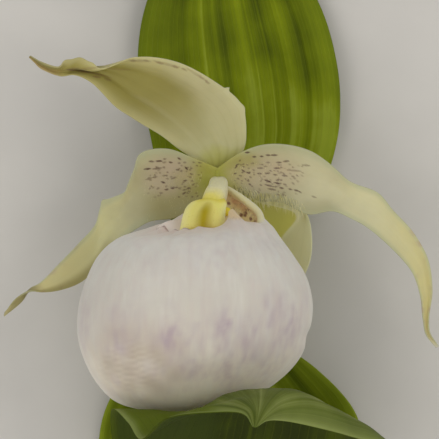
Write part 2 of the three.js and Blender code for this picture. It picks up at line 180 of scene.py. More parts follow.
def bladePiece(name, shape, reliefOf, readingsOf, materials, node):
    origin = shape.get("origin", np.zeros(3))
    bm, across, along = startGrid(*shape["grid"])
    along = along ** shape.get("dense", 1.0)     # above 1: the rows are closer together at the base

    def bare(u, v):
        lines = np.stack([readLine(rail, v) for rail in shape["rails"]])
        return readStations(lines, (u + 1) / 2, even=True)

    normal = normalsOf(bare, across, along)
    points = bare(across, along) + normal * reliefOf(shape, across, along)[:, None] + origin
    for place, width, depth, reach in shape.get("bumps", []):     # small swellings of the right margin
        weight = bell(along, place, width) * np.clip(across, 0, 1) ** depth
        points += weight[:, None] * np.array(reach)
    points[:, 2] = np.maximum(points[:, 2], bladeRest)
    readings = readingsOf(shape, across, along, points - origin)
    # 1 at both margins and at the tip, where the blade is thin
    edge = np.maximum(np.abs(across) ** 6, np.maximum(along, 0.9) * 10 - 9)
    shapeGrid(bm, points, across, along, readings, 1 - edge)
    piece = makePiece(name, bm, materials, node)
    giveThickness(piece, shape["thickness"], shape["edgePart"], 0, len(materials) - 1)
    return bare


def stalkGrid(shape, reliefOf, readingsOf):
    # a round stalk along a line, closed at both ends
    bm, u, along = startGrid(shape["sides"], shape["steps"])

    def bare(side, v):
        centre = readLine(shape["line"], v)
        ahead = readLine(shape["line"], np.clip(v + 0.004, 0, 1))
        ahead = ahead - readLine(shape["line"], np.clip(v - 0.004, 0, 1))
        ahead /= np.linalg.norm(ahead, axis=1, keepdims=True)
        upward = np.cross((1.0, 0.0, 0.0), ahead)
        upward /= np.linalg.norm(upward, axis=1, keepdims=True)
        sideways = np.cross(ahead, upward)
        radii = shape["radii"]
        radius = np.interp(v * (len(radii) - 1), range(len(radii)), radii)
        radius = radius + reliefOf(shape, side, v)
        turn = (-side * math.pi)[:, None]
        return centre + radius[:, None] * (sideways * np.cos(turn) + upward * np.sin(turn))

    points = bare(u, along) + shape.get("origin", np.zeros(3))
    if shape.get("restsFlat"):
        points[:, 2] = np.maximum(points[:, 2], stalkRest)
    readings = readingsOf(shape, u, along, points)
    shapeGrid(bm, points, u, along, readings, np.ones(len(u)))
    bmesh.ops.remove_doubles(bm, verts=bm.verts, dist=0.02 * mm)
    rims = [edge for edge in bm.edges if edge.is_boundary]
    ends = bmesh.ops.holes_fill(bm, edges=rims, sides=0)["faces"]
    for insetBy, ringToo in ((0.3, False), (0.6, True)):      # skin stays on the outer 0.3 mm of the cut
        ends = [face for face in ends if face.is_valid]
        rings = bmesh.ops.inset_region(bm, faces=ends, thickness=insetBy * mm, use_boundary=True)["faces"]
        for face in ends + (rings if ringToo else []):
            face.material_index = shape.get("endMaterial", 0)
    bmesh.ops.recalc_face_normals(bm, faces=bm.faces)
    return bm, bare


def hairBody(bm, root, direction, sag, length, radius):
    # one tapered hair, closed at both ends
    made = bmesh.ops.create_grid(bm, x_segments=3, y_segments=4, size=1)["verts"]
    ahead = Vector(direction).normalized()
    side = ahead.orthogonal().normalized()
    other = ahead.cross(side)
    root, sag = Vector(root), Vector(sag)
    profile = (0.0, 1.0, 0.8, 0.5, 0.0)
    for vertex in made:
        step = round((vertex.co.y + 1) * 2)
        angle = -vertex.co.x * math.pi
        wide = radius * profile[step]
        part = step / 4
        middle = root + ahead * (length * part) + sag * (length * part * part)
        vertex.co = (middle + side * (wide * math.cos(angle)) + other * (wide * math.sin(angle))) * mm


def hairPiece(name, hairs, material, node):
    bm = bmesh.new()
    for hair in hairs:
        hairBody(bm, *hair)
    bmesh.ops.remove_doubles(bm, verts=bm.verts, dist=0.002 * mm)
    bmesh.ops.recalc_face_normals(bm, faces=bm.faces)
    for face in bm.faces:
        face.smooth = True
    return makePiece(name, bm, [material], node)


# materials; a comment gives the real size of each pattern in mm

def hexColour(text):
    values = [int(text[i:i + 2], 16) / 255 for i in (1, 3, 5)]
    return [v / 12.92 if v <= 0.04045 else ((v + 0.055) / 1.055) ** 2.4 for v in values] + [1.0]


def addNode(tree, kind, settings=None, links=None):
    # a link starts at a socket, or at the first output of a node
    node = tree.nodes.new("ShaderNode" + kind)
    for key, value in (settings or {}).items():
        if key == "stops":
            ramp = node.color_ramp
            while len(ramp.elements) < len(value):
                ramp.elements.new(0.5)
            for element, (place, colour) in zip(ramp.elements, value):
                element.position = place
                element.color = hexColour(colour)
        elif isinstance(key, str) and hasattr(node, key):
            setattr(node, key, value)
        else:
            node.inputs[key].default_value = value
    for key, source in (links or {}).items():
        if isinstance(source, bpy.types.Node):
            source = source.outputs[0]
        tree.links.new(source, node.inputs[key])
    return node


def startMaterial(name, scale, detail=3):
    # every material starts from its place on the object and a soft noise
    material = bpy.data.materials.new(name)
    material.use_nodes = True
    tree = material.node_tree
    tree.nodes.clear()
    place = addNode(tree, "TexCoord").outputs["Object"]
    soft = addNode(tree, "TexNoise", {"Scale": scale, "Detail": detail}, {"Vector": place})
    return material, tree, place, soft


def startTissue(name, softScale, fineScale, fineDetail=4):
    # tissue has a fine noise too, and reads where it is across and along its piece
    material, tree, place, soft = startMaterial(name, softScale)
    uv = addNode(tree, "UVMap", {"uv_map": "surface"})
    parts = addNode(tree, "SeparateXYZ", links={0: uv}).outputs
    fine = addNode(tree, "TexNoise", {"Scale": fineScale, "Detail": fineDetail}, {"Vector": place})
    return material, tree, parts, soft, fine


def toneRamp(tree, tone, soft, uneven, stops):
    drift = addNode(tree, "Math", {"operation": "MULTIPLY_ADD", 1: uneven, 2: -uneven / 2}, {0: soft})
    tone = addNode(tree, "Math", {"operation": "ADD"}, {0: tone, 1: drift})
    return addNode(tree, "ValToRGB", {"stops": stops}, {0: tone})


def marginShare(tree, parts, start, part):
    # rises towards both margins
    edge = addNode(tree, "Math", {"operation": "ABSOLUTE"}, {0: parts[0]})
    return addNode(tree, "MapRange", {"interpolation_type": "SMOOTHSTEP", "From Min": start, "To Max": part},
                   {"Value": edge})


def veinLines(tree, parts, soft, wander, count, width):
    # 1 on lines that keep their place across the piece and wander a little
    line = addNode(tree, "Math", {"operation": "MULTIPLY_ADD", 1: wander}, {0: soft, 2: parts[0]})
    line = addNode(tree, "Math", {"operation": "MULTIPLY", 1: math.pi * count / 2}, {0: line})
    line = addNode(tree, "Math", {"operation": "SINE"}, {0: line})
    line = addNode(tree, "Math", {"operation": "ABSOLUTE"}, {0: line})
    return addNode(tree, "MapRange", {"interpolation_type": "SMOOTHSTEP", "From Max": width, "To Min": 1.0,
                                      "To Max": 0.0}, {"Value": line})


def layColours(tree, body, layers):
    # a layer: where it shows, as a node or the name of a reading, how strongly, and its colour
    for amount, part, colour in layers:
        if isinstance(amount, str):
            amount = addNode(tree, "Attribute", {"attribute_name": amount}).outputs["Fac"]
        if part != 1:
            amount = addNode(tree, "Math", {"operation": "MULTIPLY", 1: part}, {0: amount})
        mixed = addNode(tree, "Mix", {"data_type": "RGBA", 7: hexColour(colour)}, {0: amount, 6: body})
        body = mixed.outputs[2]
    return body


def finishMaterial(tree, body, settings, mottle=None, rough=None, bump=None):
    # mottle and rough: noise, from, to; bump: height, strength, depth in mm
    if mottle:
        grain = addNode(tree, "MapRange", {"To Min": mottle[1], "To Max": mottle[2]}, {"Value": mottle[0]})
        body = addNode(tree, "VectorMath", {"operation": "SCALE"}, {0: body, "Scale": grain})
    links = {"Base Color": body}
    if rough:
        grain = addNode(tree, "MapRange", {"To Min": rough[1], "To Max": rough[2]}, {"Value": rough[0]})
        links["Roughness"] = grain
    if bump:
        relief = {"Strength": bump[1], "Distance": bump[2] * mm}
        links["Normal"] = addNode(tree, "Bump", relief, {"Height": bump[0]})
    if "Emission Strength" in settings:
        links["Emission Color"] = body
    shader = addNode(tree, "BsdfPrincipled", settings, links)
    addNode(tree, "OutputMaterial", links={0: shader})


def petalTissue(name, look):
    # thin satiny petal tissue: soft light through it, fine veins that run to the tip
    # cloudy over 7 mm, cells drawn as coarse as 0.9 mm so that they show
    material, tree, parts, soft, fine = startTissue(name, 140, 1100)
    body = toneRamp(tree, parts[1], soft, 0.16, look["along"])
    edge = marginShare(tree, parts, 0.62, look["marginPart"])
    heart = addNode(tree, "MapRange", {"interpolation_type": "SMOOTHSTEP", "From Min": 0.03,
                                       "From Max": 0.12}, {"Value": parts[1]})
    edge = addNode(tree, "Math", {"operation": "MULTIPLY"}, {0: edge, 1: heart})
    vein = veinLines(tree, parts, soft, 0.05, look["veinCount"], 0.3)
    # the tan blush is cloudy, the purple-brown marks are broken up
    cloudy = addNode(tree, "MapRange", {"From Min": 0.3, "From Max": 0.65, "To Min": 0.5}, {"Value": soft})
    broken = addNode(tree, "Math", {"operation": "MULTIPLY_ADD", 1: 0.9, 2: 0.55}, {0: fine})
    uneven = {}
    for reading, grain in (("blush", cloudy), ("mark", broken)):
        amount = addNode(tree, "Attribute", {"attribute_name": reading}).outputs["Fac"]
        amount = addNode(tree, "Math", {"operation": "MULTIPLY", "use_clamp": True}, {0: amount, 1: grain})
        uneven[reading] = amount
    body = layColours(tree, body, [
        (edge, 1, look["margin"]), (vein, look["veinPart"], look["vein"]),
        (uneven["blush"], 1, look["blush"]), ("shade", 1, look["deep"]), (uneven["mark"], 1, look["mark"])])
    height = addNode(tree, "Math", {"operation": "MULTIPLY_ADD", 1: 0.25}, {0: fine, 2: vein})
    finishMaterial(tree, body, {
        "Subsurface Weight": 0.25, "Subsurface Scale": 1.6 * mm, "Subsurface Radius": (1.0, 0.8, 0.45),
        "Specular IOR Level": 0.32, "Sheen Weight": 0.08,
    }, (soft, 0.9, 1.08), (fine, 0.42, 0.62), (height, 0.1, 0.2))
    return material


def leafTissue(name, look):
    # pleated leaf: waxy green, with painted shade in the valleys of its pleats and painted light on the ribs
    # uneven over 11 mm, with a grain of 0.7 mm
    material, tree, parts, soft, fine = startTissue(name, 90, 1500, 3)
    pleat = addNode(tree, "Attribute", {"attribute_name": "pleat"}).outputs["Fac"]
    body = toneRamp(tree, pleat, soft, 0.5, look["tones"])
    edge = marginShare(tree, parts, 0.6, 0.4)
    vein = veinLines(tree, parts, soft, 0.03, look["veinCount"], 0.35)      # finer than the pleats
    body = layColours(tree, body, [
        (edge, 1, look["margin"]), (vein, look["veinPart"], look["vein"]), ("shade", 1, look["deep"])])
    height = addNode(tree, "Math", {"operation": "MULTIPLY_ADD", 1: 0.3}, {0: fine, 2: vein})
    finishMaterial(tree, body, {
        "Subsurface Weight": 0.12, "Subsurface Scale": 1.2 * mm, "Subsurface Radius": (0.6, 1.0, 0.2),
        "Specular IOR Level": 0.12,
    }, (soft, 0.86, 1.12), (fine, *look["rough"]), (height, 0.35, 0.25))
    return material


def fleshTissue(name, look):
    # firm flesh of a stalk: an even tone from one end to the other, faint ribs, specks of 0.7 mm
    material, tree, parts, soft, fine = startTissue(name, 160, 1400)
    body = toneRamp(tree, parts[1], soft, 0.2, look["along"])
    rib = addNode(tree, "Math", {"operation": "MULTIPLY", 1: math.pi * look["ribCount"]}, {0: parts[0]})
    rib = addNode(tree, "Math", {"operation": "COSINE"}, {0: rib})
    rib = addNode(tree, "MapRange", {"From Min": -0.2, "To Max": look["ribPart"]}, {"Value": rib})
    body = layColours(tree, body, [(rib, 1, look["rib"]), ("shade", 1, look["deep"])])
    finishMaterial(tree, body, {
        "Subsurface Weight": 0.2, "Subsurface Scale": 2 * mm, "Subsurface Radius": (1.0, 0.9, 0.4),
        "Specular IOR Level": 0.35,
    }, (fine, 0.9, 1.08), (soft, 0.4, 0.6), (fine, 0.3, 0.2))
    return material


def cutTissue():
    # freshly cut stem: moist pale green flesh with the darker ends of its fibres, 0.6 mm apart
    material, tree, place, soft = startMaterial("cut stem flesh", 500)
    body = addNode(tree, "ValToRGB", {"stops": [(0.3, "#b4bd7e"), (0.7, "#ccd29c")]}, {0: soft})
    fibre = addNode(tree, "TexVoronoi", {"Scale": 1700}, {"Vector": place})
    fibre = addNode(tree, "MapRange", {"From Min": 0.16, "From Max": 0.3, "To Min": 0.7, "To Max": 0.0},
                    {"Value": fibre})
    body = layColours(tree, body, [(fibre, 1, "#7c8844")])
    finishMaterial(tree, body, {"Subsurface Weight": 0.2, "Subsurface Scale": 1 * mm},
                   rough=(soft, 0.25, 0.45))
    return material


def plainMaterial(name, scale, detail, stops, settings):
    material, tree, _, soft = startMaterial(name, scale, detail)
    finishMaterial(tree, addNode(tree, "ValToRGB", {"stops": stops}, {0: soft}), settings)
    return material


def hairTissue(name, rootColour, tipColour):
    # fine plant hair, pale and a little glossy; its colour changes over 2.5 mm
    return plainMaterial(name, 400, 2, [(0.35, rootColour), (0.65, tipColour)],
                         {"Roughness": 0.5, "Specular IOR Level": 0.3})


def noReading(shape, across, along, points):
    return {"shade": np.zeros(len(across))}


# stem and ovary

stemShape = {
    "line": [(0, -14, 2.5), (0, 4, 2.5), (0, 18, 4.5), (0, 60, 4.5), (0, 92, 4.5), (0, 121.6, 4.5)],
    "radii": [2.8, 2.8, 2.8, 2.6, 2.45, 2.3],
    "sides": 48,
    "steps": 190,
    "restsFlat": True,
    "joints": [(0.262, 0.35), (0.452, 0.3), (0.978, 0.25)],    # place along, height of the ring
    "jointWidth": 0.008,
    "ridges": [(0.06, 9, 0), (0.03, 23, 5)],    # height, how many, how far they turn from end to end
    "endMaterial": 1,
}

ovaryShape = {
    "line": [(0, 121.4, 4.5), (0, 131, 7.6), (0, 139, 13.8), (0, 145, 21), (0, 149.4, 28.4)],
    "radii": [2.2, 2.8, 3.2, 2.9, 2.1],
    "sides": 72,
    "steps": 90,
    "ribs": 6,
    "ribHeight": 0.34,
}


def stemRelief(shape, side, along):
    relief = 0
    for height, count, turn in shape["ridges"]:
        relief = relief + height * np.cos(side * math.pi * count + turn * along)
    return relief + sum(height * bell(along, spot, shape["jointWidth"]) for spot, height in shape["joints"])


def stemReadings(shape, side, along, points):
    return {"shade": 0.5 * smoothStep(0.1, 0.6, roughField(points, 9.0, 3))}


def ovaryRelief(shape, side, along):
    height = shape["ribHeight"] * np.sin(np.pi * np.clip(along, 0, 1))
    return height * (1 - 2 * np.abs(np.sin(side * math.pi * shape["ribs"] / 2)) ** 0.8)


stemFlesh = fleshTissue("stem flesh", {
    "along": [(0.0, "#8f9a4c"), (0.15, "#7c8a3a"), (0.6, "#6d7c2c"), (1.0, "#7f8c3c")],
    "rib": "#94a154", "ribPart": 0.35, "ribCount": 9, "deep": "#59601f",
})
ovaryFlesh = fleshTissue("ovary flesh", {
    "along": [(0.0, "#7b8938"), (0.5, "#85923f"), (1.0, "#a3a860")],
    "rib": "#a4ad62", "ribPart": 0.45, "ribCount": 6, "deep": "#5f6a24",
})
stemMesh, stemSurface = stalkGrid(stemShape, stemRelief, stemReadings)
makePiece("dressedStem", stemMesh, [stemFlesh, cutTissue()], "stem")
ovaryMesh, ovarySurface = stalkGrid(ovaryShape, ovaryRelief, noReading)
makePiece("dressedOvary", ovaryMesh, [ovaryFlesh], "ovary")
print("stem and ovary")


# leaves and bract

leafBackShape = {
    "rails": [
        [(-3.4, 17.7, 5), (-14.5, 29, 4.2), (-23.9, 44.4, 2.4), (-29.1, 61, 1.4),
         (-30.1, 77.7, 3.2), (-28.4, 90.3, 5.6), (-22.8, 100.2, 6), (-13.5, 107.4, 4),
         (-3.8, 112.6, 2.4)],
        [(0, 17.3, 0.95), (0, 28.7, 0.95), (0, 44.3, 0.95), (0, 61, 0.95), (0, 77.6, 0.95),
         (0, 90.1, 0.95), (-0.5, 99.5, 1), (-1.1, 107.8, 1.2), (-3.1, 113, 2.4)],
        [(3.4, 17.7, 5), (14.5, 29, 4), (24.9, 44.4, 2.2), (32.2, 61, 1.4), (35.9, 77.8, 3.4),
         (34.4, 90.3, 6), (25.5, 100.7, 6.2), (12.4, 108.9, 4), (-2.5, 112.8, 2.4)],
    ],
    "grid": (120, 130), "thickness": 0.6, "edgePart": 0.4,
    "pleats": 4, "pleatDepth": 0.55, "waves": 3, "waveHeight": 0.7, "seed": 11, "pleatShadingContrast": 1.8,
}

leafFrontShape = {
    "rails": [
        [(-3.3, 38.3, 4), (-13.4, 51.5, 13), (-21.4, 66.8, 27), (-25, 82.5, 43), (-25.1, 94, 56),
         (-21.2, 91, 64), (-18.3, 87.3, 69), (-12.3, 92.3, 76), (-1.8, 94, 82), (5.8, 93.7, 86),
         (8, 90.9, 90)],
        [(-1.7, 38.6, 7.2), (-5.7, 52.6, 14), (-8.7, 67.8, 27), (-9.4, 82.4, 42), (-6.4, 91.4, 55),
         (-5, 93.9, 62), (-3.8, 94.2, 68), (-1.2, 94.8, 75), (2.3, 96, 80), (7.1, 94.3, 85.4),
         (8.3, 90.8, 90.2)],
        [(0, 38.7, 8.2), (2, 53.8, 16), (4.6, 68.9, 28), (7, 83.8, 42), (8.9, 93.9, 54),
         (9.8, 98.2, 62), (10.1, 98.9, 68), (10.1, 98.1, 74), (9.9, 96.4, 80), (9.4, 93.9, 85.5),
         (8.5, 90.7, 90.4)],
        [(1.6, 38.6, 7.2), (9.2, 51.6, 14), (18.3, 64.7, 25), (26.2, 76.6, 38), (28.8, 86.8, 51),
         (29.2, 92.1, 60), (26, 95.1, 67), (19.9, 97.5, 73), (14.5, 96.4, 79.6),
         (11.2, 93.7, 85.6), (8.8, 90.8, 90.2)],
        [(3.3, 38.3, 4), (18.6, 47.2, 11), (34.7, 58.3, 22), (45.4, 69.4, 35), (48.4, 78.2, 48),
         (44, 83.7, 59), (33.9, 87.1, 68), (24, 89.9, 74), (15.5, 91.8, 80), (11.2, 92, 86),
         (9.1, 90.9, 90)],
    ],
    "grid": (120, 150), "thickness": 0.6, "edgePart": 0.4,
    "pleats": 4, "pleatDepth": 0.4, "waves": 0, "waveHeight": 0.0, "seed": 12,
    "lobeShade": (2.0, -3.5),    # the folded end is darker on its left lobe, between these x
}

bractShape = {
    "rails": [
        [(-3.1, 118.8, 5.4), (-8.8, 130.7, 0.85), (-13.9, 145.2, 4.6), (-16.9, 159.8, 4.6),
         (-19.5, 172.2, 5), (-19.7, 182.5, 5.4), (-18, 191.9, 5.4), (-13.9, 202.3, 5),
         (-7.1, 212.7, 5.6), (1.6, 222.1, 5.8)],
        [(0, 118.7, 1.2), (3.1, 130.7, 0.85), (7.3, 145.3, 0.9), (10, 158.8, 0.9),
         (9.1, 171.3, 0.9), (7.3, 181.7, 0.9), (5.2, 192.1, 0.9), (3.7, 202.5, 1.4),
         (2.7, 212.9, 2.8), (2.3, 222.5, 5.6)],
        [(3.1, 118.8, 5.4), (13.5, 129.7, 5), (24.3, 143.2, 4.8), (29.4, 157.7, 4.8),
         (30.4, 169.1, 5.2), (29.2, 179.4, 5.6), (25.9, 190.4, 5.6), (19.7, 201.8, 5),
         (11.4, 212.7, 5.4), (2.9, 222.1, 5.8)],
    ],
    "grid": (130, 130), "thickness": 0.6, "edgePart": 0.4,
    "pleats": 5, "pleatDepth": 0.26, "waves": 2, "waveHeight": 0.5, "seed": 13,
    "pleatShadingContrast": 0.8, "streaks": [(4, 0.26), (14, 0.2), (60, 0.14)],
    "paleVeins": [-0.42, -0.3, 0.06, 0.2], "paleAndLitBase": 0.42,
}


def pleatPhase(shape, across, along):
    # pleats drift a little from side to side on their way to the tip
    drift = roughField((across * 2.4, along * 1.8, 0), 1.0, shape["seed"])
    return (across + 0.09 * drift * (1 - across**2)) * math.pi * shape["pleats"]


def leafRelief(shape, across, along):
    phase = pleatPhase(shape, across, along)
    uneven = 1 + 0.5 * roughField((across * 3, along * 2.5, 0), 1.0, shape["seed"] + 5)
    pleat = shape["pleatDepth"] * uneven * np.cos(phase)
    rib = 0.07 * np.cos(phase * 3) - 0.12 * bell(across, 0, 0.02)
    wave = np.sin(2 * math.pi * (shape["waves"] * along + 0.2 * across)) * np.abs(across) ** 4
    fade = np.sin(math.pi * np.minimum(1, 0.06 + along))
    return (pleat + rib + wave * shape["waveHeight"]) * fade


def leafReadings(shape, across, along, points):
    phase = pleatPhase(shape, across, along)
    pleatShadingContrast = shape.get("pleatShadingContrast", 1)
    # painted shade in the valleys of the pleats and painted light on their ribs
    tone = 0.5 + pleatShadingContrast * (0.16 * np.cos(phase) + 0.07 * np.cos(phase * 3))
    for fineness, strength in shape.get("streaks", [(9, 0.22), (26, 0.2), (60, 0.16)]):
        spot = (across * fineness, along * 2.6, 0)
        tone = tone + strength * roughField(spot, 1.3, shape["seed"] + fineness)
    for spot in shape.get("paleVeins", [0]):
        tone = tone + 0.28 * bell(across, spot, 0.01)
    # paler towards the base on the right: partly a paler green, partly painted light where the petals shade
    # the bract
    pale = smoothStep(0.62 - 0.15 * across, 0.42 - 0.05 * across, along) * smoothStep(-0.35, 0.1, across)
    tone = tone + shape.get("paleAndLitBase", 0) * pale
    shade = 0.25 * smoothStep(0.25, 0.0, along)
    if "lobeShade" in shape:
        lobe = smoothStep(*shape["lobeShade"], points[:, 0]) * smoothStep(0.24, 0.32, along)
        shade = np.maximum(shade, 0.95 * lobe * smoothStep(1.0, 0.93, np.abs(across)))
    return {"pleat": tone, "shade": shade}


bractTissue = leafTissue("bract tissue", {
    "tones": [(0.15, "#4b5800"), (0.5, "#6c7a00"), (0.82, "#85930c"), (1.0, "#98a62e")],
    "margin": "#7f8d1c", "vein": "#98a436", "veinPart": 0.2, "veinCount": 44,
    "deep": "#4a5606", "rough": (0.5, 0.68),
})
leafUpper = leafTissue("leaf upper side", {
    "tones": [(0.1, "#4c5a04"), (0.5, "#6c7b0e"), (0.9, "#8e9c26")],
    "margin": "#84921e", "vein": "#84912a", "veinPart": 0.18, "veinCount": 40,
    "deep": "#3c4806", "rough": (0.48, 0.66),
})
leafDark = leafTissue("leaf shaded side", {
    "tones": [(0.1, "#262e00"), (0.5, "#303a00"), (0.9, "#445000")],
    "margin": "#56620a", "vein": "#616d14", "veinPart": 0.14, "veinCount": 40,
    "deep": "#37430a", "rough": (0.48, 0.66),
})
leafBloomy = leafTissue("leaf waxy side", {
    "tones": [(0.1, "#4a580e"), (0.5, "#68742c"), (0.9, "#8a9450")],
    "margin": "#8c965a", "vein": "#8c965a", "veinPart": 0.12, "veinCount": 40,
    "deep": "#5d6b12", "rough": (0.5, 0.66),
})
bladePiece("dressedLeafBack", leafBackShape, leafRelief, leafReadings, [leafUpper], "leaf_back")
bladePiece("dressedLeafFront", leafFrontShape, leafRelief, leafReadings, [leafDark, leafBloomy],
           "leaf_front")
bladePiece("dressedBract", bractShape, leafRelief, leafReadings, [bractTissue], "bract")
print("leaves and bract")


# sepals

dorsalShape = {
    "rails": [
        [(-1.6, -0.2, -0.9), (-5.6, 3.1, -1.2), (-9.4, 5.6, -0.4), (-14.4, 9.4, 2.2),
         (-20.1, 12.8, 3.6), (-24.4, 15.5, 5.0), (-30.5, 21.7, 7.4), (-35, 23.4, 8.6),
         (-37.9, 23.2, 9.4), (-39.6, 23.5, 10.1), (-42.4, 24.9, 11.4), (-45.3, 27.4, 13)],
        [(0, -0.3, -0.9), (0.6, 5.3, -1.8), (-1.2, 8.9, -2), (-5.1, 13.8, -1.8),
         (-10.2, 18.4, -1.2), (-17.8, 22.6, 0.6), (-25.7, 25.2, 3.4), (-31.9, 25.2, 6),
         (-36.6, 24.9, 8.6), (-39, 24.6, 9.6), (-41.9, 25.4, 10.8), (-45.4, 27.7, 13)],
        [(1.6, -0.2, -0.9), (6.1, 5.2, -1), (6.9, 9.7, 0.2), (5.9, 16.1, 2), (0.4, 21.2, 3.2),
         (-9.1, 26.5, 5), (-20.2, 27.6, 7), (-28.7, 25.2, 9.4), (-33.4, 27.5, 11),
         (-37.8, 25.6, 10.8), (-41.2, 25.9, 11.6), (-45.1, 28, 13)],
    ],
    "origin": bloom, "grid": (72, 230), "thickness": 0.5, "edgePart": 0.35,
    "bumps": [(0.34, 0.0045, 12, (0.6, 0.65, 0.1)), (0.265, 0.014, 10, (0.35, 0.25, 0)),
              (0.662, 0.02, 3, (0.1, 0.6, 0.2)), (0.79, 0.024, 3, (-0.6, 0.9, 0.2))],
    # dashes: x, y, half length, turn in degrees, strength
    "marks": [(-35.4, 24.7, 1.2, -10, 0.7), (-32.6, 24.2, 2.2, -8, 0.6), (-28.6, 23.5, 2.6, -11, 0.45),
              (-31.2, 25.2, 2.2, 4, 0.35), (-29.4, 23.0, 0.9, -8, 0.55), (-26.8, 22.4, 0.8, -14, 0.45),
              (-34.6, 25.2, 1.0, 4, 0.4), (-24.0, 25.2, 2.6, -2, 0.3), (-19.0, 27.2, 2.6, -3, 0.3),
              (-12.4, 26.4, 3.2, -14, 0.32), (-5.2, 23.9, 3.0, -32, 0.32), (-20.6, 27.2, 0.6, 0, 0.6),
              (-17.4, 27.2, 0.5, -6, 0.5), (-14.0, 26.7, 0.9, -10, 0.6), (-10.4, 25.8, 0.7, -16, 0.65),
              (-8.1, 25.1, 0.5, -22, 0.5), (-4.2, 23.3, 0.7, -34, 0.6), (-2.6, 22.1, 0.5, -42, 0.6)],
}

synsepalShape = {
    "rails": [
        [(-1.4, -2.4, -1.2), (-5, -6.6, -2.4), (-9.6, -12, -5.6), (-12.6, -20, -8.4),
         (-11.4, -28, -9.8), (-6, -35, -10.4), (1.4, -40, -10.6)],
        [(0.2, -2.6, -1), (1.6, -6.6, -3), (4.2, -12, -7.4), (5.4, -19.6, -10.6),
         (5.4, -28, -11.6), (4.4, -35, -11.6), (2.4, -40.6, -11)],
        [(1.4, -2.5, -1.2), (9, -6.8, -4.4), (19.2, -10.2, -6.4), (15.4, -16.4, -9.4),
         (13.4, -24.6, -11), (9.4, -34.4, -11.4), (3, -40.2, -10.8)],
        [(1.8, -2.4, -1.2), (11, -6.4, -3.6), (21, -9.2, -4.6), (23, -16, -6), (21.8, -23.8, -8),
         (13.6, -34, -10), (3.4, -40, -10.6)],
    ],
    "origin": bloom, "grid": (80, 110), "thickness": 0.5, "edgePart": 0.35,
}


def freckles(count, seed, middle, reach, turn):
    # small seeded marks round a middle, in the same form as the placed ones
    pick = random.Random(seed)
    made = []
    for _ in range(count):
        x = middle[0] + pick.uniform(-reach[0], reach[0])
        y = middle[1] + pick.uniform(-reach[1], reach[1])
        made.append((x, y, pick.uniform(0.08, 0.3), turn + pick.uniform(-25, 25), pick.uniform(0.3, 0.75)))
    return made


def dashes(points, marks, width):
    # how deep in a mark each point lies, 0 to 1, as it is looked at from above
    depth = np.zeros(len(points))
    for x, y, half, turn, strength in marks:
        ahead = np.array((math.cos(math.radians(turn)), math.sin(math.radians(turn))))
        away = points[:, :2] - (x, y)
        run = np.clip(away @ ahead, -half, half)
        far = np.linalg.norm(away - run[:, None] * ahead, axis=1)
        taper = width * (1.15 - 0.6 * np.abs(run) / half)
        depth = np.maximum(depth, strength * smoothStep(1.5, 0.5, far / taper))
    return depth


def dorsalRelief(shape, across, along):
    # a crease runs to the tail; the margin above it curls up as a rounded lobe
    lobe = stretch(along, 0.56, 0.66, 0.77, 0.8)
    crease = -0.25 * bell(across, 0.08, 0.12) * lobe
    curl = 0.8 * np.sin(math.pi * np.clip((across - 0.1) / 0.9, 0, 1)) * lobe
    ribs = 0.025 * np.cos(across * math.pi * 7) * np.sin(math.pi * along)
    fold = -0.35 * bell(across, -0.45, 0.12) * stretch(along, 0.2, 0.4, 0.5, 0.62)
    edge = 0.25 * np.abs(across) ** 4 * np.sin(2 * math.pi * (5 * along + 0.15)) * smoothStep(0, 0.2, along)
    return crease + curl + ribs + fold + edge


def dorsalReadings(shape, across, along, points):
    # painted shade darkens the hollow of the hood to olive, its upper margin and right side stay pale; the
    # green at the base and its rays are the sepal's own colour
    border = 0.42 - 0.5 * smoothStep(0.42, 0.14, along) + 0.08 * roughField(points, 6.0, 51)
    hollow = smoothStep(border + 0.34, border - 0.28, across)
    hollow *= 0.55 + 0.45 * smoothStep(-1.05, -0.6, across)
    hollow *= stretch(along, 0.1, 0.42, 0.66, 0.8)
    hollow *= 1 - 0.3 * bell(across, -0.5, 0.07) * smoothStep(0.5, 0.4, along)
    heart = smoothStep(0.1, 0.02, along)
    rays = np.cos(across * math.pi * 2.6 + 0.5) ** 6 * smoothStep(0.22, 0.04, along)
    return {
        "mark": 0.9 * dashes(points, shape["marks"], 0.26),
        "blush": 0.7 * smoothStep(0.66, 0.86, along) * smoothStep(0.5, 0.1, across),
        "shade": np.clip(0.95 * hollow + 0.5 * heart + 0.22 * rays, 0, 1),
    }


def synsepalRelief(shape, across, along):
    return 0.025 * np.cos(across * math.pi * 5) * np.sin(math.pi * along)


def synsepalReadings(shape, across, along, points):
    none = np.zeros(len(across))
    return {"mark": none, "blush": none, "shade": 0.8 * (1 - smoothStep(0.3, 0.36, across))}


sepalTissue = petalTissue("upper sepal tissue", {
    "along": [(0.0, "#a8aa32"), (0.06, "#b6b65a"), (0.14, "#c4c08e"), (0.4, "#cac396"), (0.6, "#bfb774"),
              (0.72, "#9c9248"), (0.84, "#918849"), (1.0, "#807c4c")],
    "margin": "#d0cb9e", "marginPart": 0.4, "vein": "#9c9a4c", "veinPart": 0.07, "veinCount": 11,
    "blush": "#a4864e", "deep": "#938b40", "mark": "#75543e",
})
lowerTissue = petalTissue("lower sepal tissue", {
    "along": [(0.0, "#c6c658"), (0.3, "#e2dfb4"), (1.0, "#d6d096")],
    "margin": "#d6d6ae", "marginPart": 0.4, "vein": "#8f8c40", "veinPart": 0.04, "veinCount": 12,
    "blush": "#a98c62", "deep": "#c6c344", "mark": "#5f3f35",
})
bladePiece("dressedUpperSepal", dorsalShape, dorsalRelief, dorsalReadings, [sepalTissue],
           "dorsal_sepal")
bladePiece("dressedLowerSepal", synsepalShape, synsepalRelief, synsepalReadings, [lowerTissue],
           "synsepal")
print("sepals")


# petals

